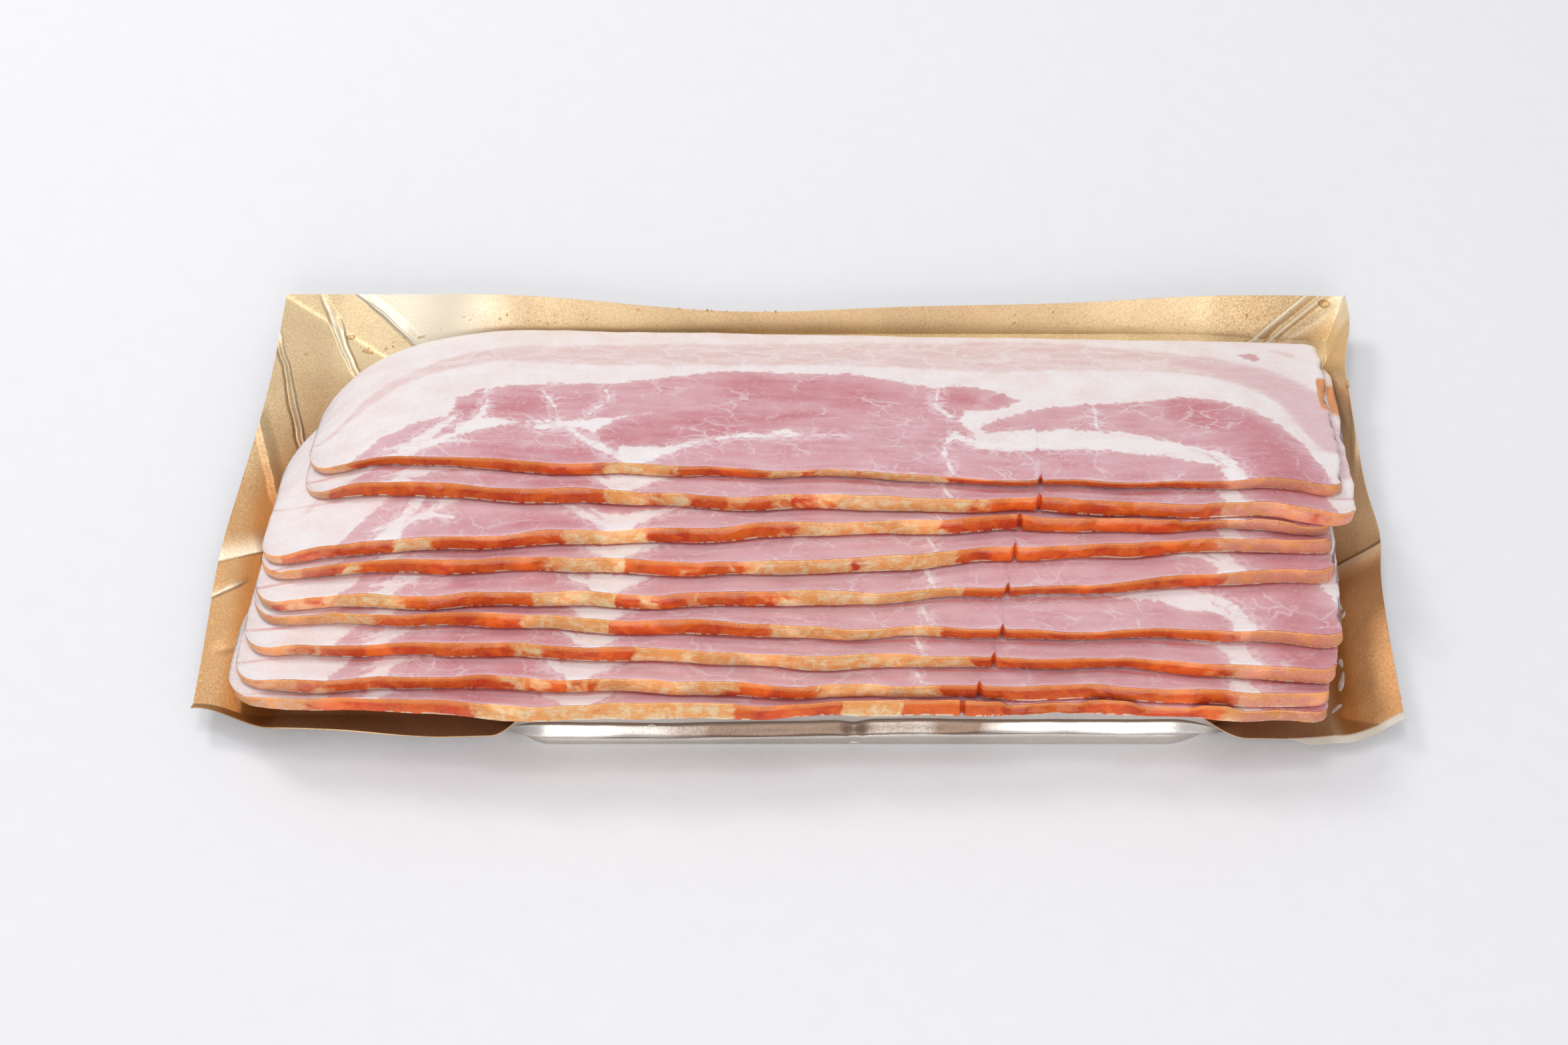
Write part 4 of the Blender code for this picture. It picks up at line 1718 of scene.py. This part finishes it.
    def build(self, gilt: bpy.types.Material, bare: bpy.types.Material) -> bpy.types.Object:
        """The tray as one closed thin shell.

        Args:
            gilt: finish of its inside.
            bare: finish of its outside.

        Returns:
            The tray, dressed and riding on the pack.
        """
        sheet, up, up_front = self.sheet()
        inner = self.crumple(sheet, up)
        outer = self.outer_face(inner, up, up_front)
        top, low, rim = self.shell(*up.shape)
        points = np.concatenate((inner.reshape(-1, 3), outer.reshape(-1, 3)))
        made = make_object("tray_foil", points, np.concatenate((top, low, rim)).tolist())
        made.data.materials.append(gilt)
        made.data.materials.append(bare)
        slots = np.repeat((0, 1, 0), (len(top), len(low), len(rim)))
        made.data.polygons.foreach_set("material_index", slots.astype(np.int32))
        face_outwards(made)
        made.data.shade_smooth()
        made.data.set_sharp_from_angle(angle=self.SHARP)
        self.paint(made, sheet, up_front)
        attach(made, BODY)
        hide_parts("foil_tray")
        report(made)
        return made

    def paint(self, made: bpy.types.Object, sheet: Array, up_front: Array) -> None:
        """Stores how the foil looks at every point, painted shade and highlights included, first of
        the inner face, then of the outer.

        Args:
            made: the tray.
            sheet: its plain inner face.
            up_front: how far up the front wall each point is.
        """
        # Painted shade on the gilt, then painted highlights on the gilt and painted shade on the bare
        # front.
        near, side_shade = self.painted_tray_shade(sheet), self.painted_wall_shade(sheet)
        pressed = self.pressed(sheet[..., 0], up_front)
        wall = [np.stack((near, side_shade, pressed, painted_light), axis=-1).reshape(-1, 4)
                for painted_light in (self.painted_gilt_highlight(sheet), self.painted_bare_shade(sheet))]
        give_field(made, "wall", np.concatenate(wall))

    def painted_wall_shade(self, sheet: Array) -> Array:
        """Where shade is painted on the gilt: the left wall, its flange, and the back right corner.

        Args:
            sheet: the inner face's points.

        Returns:
            The share of darkness at each point.
        """
        x, y = sheet[..., 0], sheet[..., 1]
        wall = 0.36 * ramp(x, -108.0, -114.0)
        flange = 0.75 * (ramp(x, -120.0, -125.0) * ramp(y, 20.0, -10.0))
        corner_side = ramp(x, 94.0, 102.0) * ramp(y, 45.0, 49.0) * ramp(x, 127.0, 122.0)
        return wall + flange + 0.6 * corner_side

    def painted_tray_shade(self, sheet: Array) -> Array:
        """Painted shade on the gilt, deepest in the tray, beside the meat and on the side walls.

        Args:
            sheet: the inner face's points.

        Returns:
            The share at each point: all over, beside the meat, on the left and right walls.
        """
        x, y, z = sheet[..., 0], sheet[..., 1], sheet[..., 2]
        beside = ease(1.0 - (np.abs(x + 3.0) - 112.0) / 14.0) * (1.0 - z / 12.0)
        beside = beside * ramp(y, 46.0, 32.0)
        beside = beside * (1.0 - 0.6 * ease(x / 100.0) * ramp(y, -20.0, -6.0))
        left = ramp(x, -112.0, -116.0) * (0.02 + 0.60 * ramp(x, -127.0, -122.0))
        left = left * ramp(y, 28.0, -8.0)
        right = 0.55 * ramp(x, 111.0, 115.0) * (0.18 + 0.82 * ramp(y, -6.0, -22.0))
        right = right * ramp(y, 46.0, 34.0)
        return np.clip(0.25 * ramp(y, 42.0, -8.0) + 0.55 * beside + left + right, 0.0, 1.0)

    def painted_gilt_highlight(self, sheet: Array) -> Array:
        """Where highlights are painted on the gilt: a facet of the back wall and the right corner's
        tip.

        Args:
            sheet: the inner face's points.

        Returns:
            The share at each point.
        """
        x, y = sheet[..., 0], sheet[..., 1]
        facet = ramp(x, -116.0, -112.0) * ramp(x, -58.0, -92.0) * ramp(y, 43.0, 49.0)
        strip = 0.45 * ramp(x, -10.0, -70.0) * ramp(y, 47.0, 50.0) * ramp(y, 55.0, 51.0)
        tip = 0.9 * ramp(x, 126.0, 129.0) * ramp(y, 48.0, 52.0)
        return np.maximum.reduce((facet, strip, tip))

    def painted_bare_shade(self, sheet: Array) -> Array:
        """Painted shade on the bare front along its length, least to both sides of its middle.

        Args:
            sheet: the outer face's points.

        Returns:
            The share at each point.
        """
        x = sheet[..., 0]
        middle = ramp(x, -46.0, -24.0) * ramp(x, 44.0, 32.0)
        ends = ramp(x, 80.0, 92.0) + ramp(x, -62.0, -70.0)
        return np.clip(0.75 * middle + 0.5 * ends + 0.35 * waver(x, 1.0, 8.0), 0.0, 1.0)


# ---- what sticks to the foil ----------------------------------------------------------


@dataclass(frozen=True)
class Dab:
    """A flattened drop on the foil, longer one way than the other."""

    x: float
    y: float
    long: float                   # half of its length, half of its width, and its height
    wide: float
    high: float
    turn: float = 0.0             # radians from the x axis to its length

    RINGS, SPOKES = 7, 18
    SUNK = 0.12                              # how far its base lies under the foil's surface

    def shape(self, at: Array, normal: Array, seed: float) -> tuple[Array, Array]:
        """Points and faces of the drop.

        Rings shrink towards the top as a quarter ellipse; the outline wavers a
        little with the angle, and a flat base sinks under the foil's surface.

        Args:
            at: the place on the foil, in millimetres.
            normal: the foil's upward unit normal there.
            seed: what sets this outline apart.

        Returns:
            The points, and four vertex numbers for each face.
        """
        angle = np.linspace(0.0, 2.0 * np.pi, self.SPOKES, endpoint=False)[None, :]
        level = np.linspace(0.0, 0.94, self.RINGS)[:, None] * np.pi / 2.0
        uneven = 1.0 + 0.14 * np.sin(2.0 * angle + seed) + 0.08 * np.sin(3.0 * angle + 2.0 * seed)
        along = self.long * np.cos(level) * np.cos(angle) * uneven
        across = self.wide * np.cos(level) * np.sin(angle) * uneven
        up = self.high * np.sin(level) + 0.0 * angle - self.SUNK
        side = np.array((cos(self.turn), sin(self.turn), 0.0))
        side = side - normal * float(side @ normal)
        side = side / np.linalg.norm(side)
        other = np.cross(normal, side)
        rings = at + along[..., None] * side + across[..., None] * other + up[..., None] * normal
        ends = np.stack((at - self.SUNK * normal, at + (self.high - self.SUNK) * normal))
        points = np.concatenate((rings.reshape(-1, 3), ends))
        number = np.arange(self.RINGS * self.SPOKES).reshape(self.RINGS, self.SPOKES)
        turn = np.roll(number, -1, axis=1)
        sides = np.stack((number[:-1], turn[:-1], turn[1:], number[1:]), axis=-1).reshape(-1, 4)
        return points, sides

    def caps(self) -> list[list[int]]:
        """Triangles that close the base and the top.

        Returns:
            Three vertex numbers for each.
        """
        count = self.RINGS * self.SPOKES
        base = [[(i + 1) % self.SPOKES, i, count] for i in range(self.SPOKES)]
        first = count - self.SPOKES
        top = [[first + i, first + (i + 1) % self.SPOKES, count + 1] for i in range(self.SPOKES)]
        return base + top


@dataclass(frozen=True)
class Splashes:
    """Drops of brine and dabs of rubbed fat on the tray's walls."""

    tray: Tray
    drops: tuple[Dab, ...] = (
        Dab(-108.4, 48.6, 1.1, 0.8, 0.5), Dab(-104.6, 45.6, 1.3, 0.8, 0.5),
        Dab(125.0, 56.4, 1.6, 1.1, 0.5), Dab(126.4, 31.0, 0.9, 0.9, 0.5),
        Dab(-118.0, 41.0, 0.6, 0.4, 0.3), Dab(122.4, 18.0, 0.5, 0.5, 0.3),
    )
    dabs: tuple[Dab, ...] = (
        Dab(117.6, -20.0, 1.6, 0.5, 0.35, 1.3), Dab(117.0, -25.5, 2.2, 0.6, 0.4, 1.8),
        Dab(117.6, -30.0, 1.2, 0.5, 0.3, 1.1), Dab(115.6, -41.0, 1.4, 0.5, 0.35, 1.6),
        Dab(114.8, -46.0, 2.4, 0.7, 0.45, 1.2), Dab(113.0, -52.0, 1.5, 0.6, 0.35, 0.7),
    )
    mist_count: int = 90
    mist_seed: int = 7

    def mist(self) -> tuple[Dab, ...]:
        """Fine drops along the foot of the back wall, thickest towards its left.

        Returns:
            The drops.
        """
        rng = np.random.default_rng(self.mist_seed)
        x = -106.0 + 100.0 * rng.random(self.mist_count) ** 1.4
        x = np.where(rng.random(self.mist_count) < 0.3, 40.0 + 80.0 * rng.random(self.mist_count), x)
        y = 54.0 - 9.0 * ramp(x, -74.0, -108.0) + 1.6 * rng.random(self.mist_count)
        size = 0.16 + 0.26 * rng.random(self.mist_count) ** 2
        return tuple(Dab(*(float(part) for part in row), float(row[2]) * 0.7)
                     for row in np.stack((x, y, size, size), axis=-1))

    def gather(self, name: str, dabs: Sequence[Dab], finish: bpy.types.Material) -> bpy.types.Object:
        """One object of many drops, each set on the nearest point of the foil.

        Args:
            name: the object's name.
            dabs: the drops.
            finish: its material.

        Returns:
            The object, riding on the pack.
        """
        sheet, up, _ = self.tray.sheet()
        inner = self.tray.crumple(sheet, up)
        normals = self.tray.normals(inner).reshape(-1, 3)
        flat = inner.reshape(-1, 3)
        points, faces, first = [], [], 0
        for seed, dab in enumerate(dabs):
            near = int(np.argmin((flat[:, 0] - dab.x) ** 2 + (flat[:, 1] - dab.y) ** 2))
            some, sides = dab.shape(flat[near], normals[near], 1.7 * seed)
            points.append(some)
            faces += (sides + first).tolist() + [[n + first for n in cap] for cap in dab.caps()]
            first += len(some)
        made = make_object(name, np.concatenate(points), faces)
        face_outwards(made)
        made.data.shade_smooth()
        made.data.materials.append(finish)
        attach(made, BODY)
        report(made)
        return made

    def build(self, brine: bpy.types.Material, suet: bpy.types.Material) -> None:
        """Sets the brine and the fat on the foil."""
        self.gather("brine_drops", self.drops + self.mist(), brine)
        self.gather("rubbed_fat", self.dabs, suet)


@dataclass(frozen=True)
class FilmEdge:
    """Strip of the clear lid still sealed to the right front rim, and a curl of it in front."""

    tray: Tray
    start: float = 101.0        # along the front rim, where the strip begins
    wide: float = 1.5
    thick: float = 0.12
    curl: tuple[float, float, float] = (-32.4, -62.5, 11.0)      # middle of the curl
    curl_radius: float = 0.9

    TUBE_STEPS, TUBE_SPOKES = 28, 10
    STRIP_SPOKES = 4

    def strip(self) -> tuple[Array, Array]:
        """Strip along the rim, its section closed.

        Returns:
            Its points, four to a section, and its faces.
        """
        sheet, _, _ = self.tray.sheet()
        rim = sheet[:, 0]
        rim = rim[rim[:, 0] > self.start]
        share = ease((rim[:, 0] - self.start) / 6.0) * ramp(rim[:, 0], 131.0, 129.5)
        reach = self.wide * (0.05 + 0.95 * share)
        low = np.array((0.0, 0.0, -self.thick))
        out = np.stack((0.0 * reach, -reach, -0.25 * reach), axis=-1)
        inner = rim + np.array((0.0, 0.15, 0.0))
        rows = np.stack((inner, rim + out, rim + out + low, inner + low), axis=1)
        return rows.reshape(-1, 3), grid_faces(len(rim), self.STRIP_SPOKES, wrap=True)

    def loop(self) -> tuple[Array, Array]:
        """Curl of film: a thin tube bent most of the way round a circle.

        Returns:
            Its points and faces.
        """
        turn = np.linspace(0.3, 4.6, self.TUBE_STEPS)[:, None]
        around = np.linspace(0.0, 2.0 * np.pi, self.TUBE_SPOKES, endpoint=False)[None, :]
        taper = np.sin(np.pi * np.linspace(0.02, 0.98, self.TUBE_STEPS))
        thin = 0.16 * np.sqrt(taper)[:, None]
        radius = self.curl_radius + thin * np.cos(around)
        points = np.stack((self.curl[0] + radius * np.cos(turn),
                           self.curl[1] + thin * np.sin(around) + 0.0 * turn,
                           self.curl[2] + radius * np.sin(turn)), axis=-1)
        return points.reshape(-1, 3), grid_faces(self.TUBE_STEPS, self.TUBE_SPOKES, wrap=True)

    def build(self, finish: bpy.types.Material) -> bpy.types.Object:
        """Both pieces as one object.

        Args:
            finish: the film's material.

        Returns:
            The film, riding on the pack.
        """
        points, faces, first = [], [], 0
        for spokes, (some, sides) in ((self.STRIP_SPOKES, self.strip()),
                                      (self.TUBE_SPOKES, self.loop())):
            last = first + len(some) - spokes
            faces += (sides + first).tolist()
            faces += [list(range(first, first + spokes)), list(range(last, last + spokes))]
            points.append(some)
            first += len(some)
        made = make_object("clear_film", np.concatenate(points), faces)
        face_outwards(made)
        made.data.materials.append(finish)
        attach(made, BODY)
        report(made)
        return made


# ---- the light and the view ---------------------------------------------------------


@dataclass(frozen=True)
class Softbox:
    """Rectangular light at a place in metres, facing the pack."""

    name: str
    place: tuple[float, float, float]
    size: tuple[float, float]
    watts: float
    colour: Colour

    def build(self) -> bpy.types.Object:
        """Hangs the light, turned to the world's origin.

        Returns:
            The light.
        """
        light = bpy.data.lights.new(self.name, "AREA")
        light.shape = "RECTANGLE"
        light.size, light.size_y = self.size
        light.energy = self.watts
        light.color = self.colour
        made = bpy.data.objects.new(self.name, light)
        made.location = self.place
        x, y, z = self.place
        made.rotation_mode = "XYZ"
        made.rotation_euler = (0.0, float(np.arctan2(np.hypot(x, y), z)), float(np.arctan2(y, x)))
        bpy.context.scene.collection.objects.link(made)
        return made


@dataclass(frozen=True)
class Studio:
    """Pale floor, soft lights, and the camera that looks down on the front of the pack."""

    aim: tuple[float, float] = (-0.0047, -0.0008)     # where the middle of the view meets the table
    distance: float = 0.4955
    elevation: float = 54.5
    lens: float = 50.0
    sensor: float = 36.0
    floor_half: float = 1.6
    floor_drop: float = 0.05                          # millimetres under the tray
    sky: Colour = (0.97, 0.97, 1.0)
    sky_strength: float = 0.575
    lights: tuple[Softbox, ...] = (
        Softbox("overhead light", (-0.15, 0.22, 1.2), (0.5, 0.6), 1.8, (1.0, 0.99, 0.97)),
        Softbox("back light", (-0.55, 0.62, 0.80), (0.28, 0.28), 3.3, (1.0, 0.99, 0.97)),
        Softbox("front light", (0.05, -1.15, 0.42), (0.9, 0.6), 6.2, (1.0, 0.99, 0.97)),
        Softbox("key light", (-0.14, 0.26, 1.05), (0.14, 0.14), 0.7, (1.0, 0.98, 0.95)),
    )

    def camera(self) -> bpy.types.Object:
        """Camera at its elevation, looking along +Y and down.

        Returns:
            The camera, in use.
        """
        lens = bpy.data.cameras.new("view")
        lens.lens = self.lens
        lens.sensor_width = self.sensor
        lens.clip_start = 0.01
        made = bpy.data.objects.new("view", lens)
        slope = radians(self.elevation)
        made.location = (self.aim[0], self.aim[1] - self.distance * cos(slope),
                         self.distance * sin(slope))
        made.rotation_euler = (radians(90.0) - slope, 0.0, 0.0)
        bpy.context.scene.collection.objects.link(made)
        bpy.context.scene.camera = made
        return made

    def floor(self, finish: bpy.types.Material) -> bpy.types.Object:
        """Flat floor just under the tray.

        Args:
            finish: its material.

        Returns:
            The floor.
        """
        reach = self.floor_half / MM
        corners = np.array(((-reach, -reach), (reach, -reach), (reach, reach), (-reach, reach)))
        points = np.column_stack((corners, np.full(4, -self.floor_drop)))
        made = make_object("tabletop", points, [[0, 1, 2, 3]])
        made.data.materials.append(finish)
        return made

    def world(self) -> None:
        """Even pale surroundings."""
        world = bpy.data.worlds.new("studio")
        world.use_nodes = True
        background = world.node_tree.nodes["Background"]
        background.inputs["Color"].default_value = (*self.sky, 1.0)
        background.inputs["Strength"].default_value = self.sky_strength
        bpy.context.scene.world = world

    def build(self, finish: bpy.types.Material) -> None:
        """Sets up floor, surroundings, lights and camera.

        Args:
            finish: the floor's material.
        """
        self.floor(finish)
        self.world()
        for light in self.lights:
            light.build()
        self.camera()
        bpy.context.scene.view_settings.view_transform = "Standard"


# ---- all of it ------------------------------------------------------------------------


def main() -> None:
    """Builds the pack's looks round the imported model."""
    logging.basicConfig(level=logging.INFO, format="%(name)s %(message)s")
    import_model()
    meat = CuredMeat().material()
    tray = Tray()
    gilt = Foil(Side.GILT, tint(255, 230, 184), tint(184, 148, 104), 0.44, 0.62,
                creases=tray.creases).material()
    bare = Foil(Side.BARE, tint(253, 250, 244), tint(120, 100, 86), 0.38, 0.75).material()
    tray.build(gilt, bare)
    Splashes(tray).build(Brine().material(), Suet().material())
    FilmEdge(tray).build(ClearFilm().material())
    Pile().build(meat)
    Studio().build(Tabletop().material())


if __name__ == "__main__":
    main()
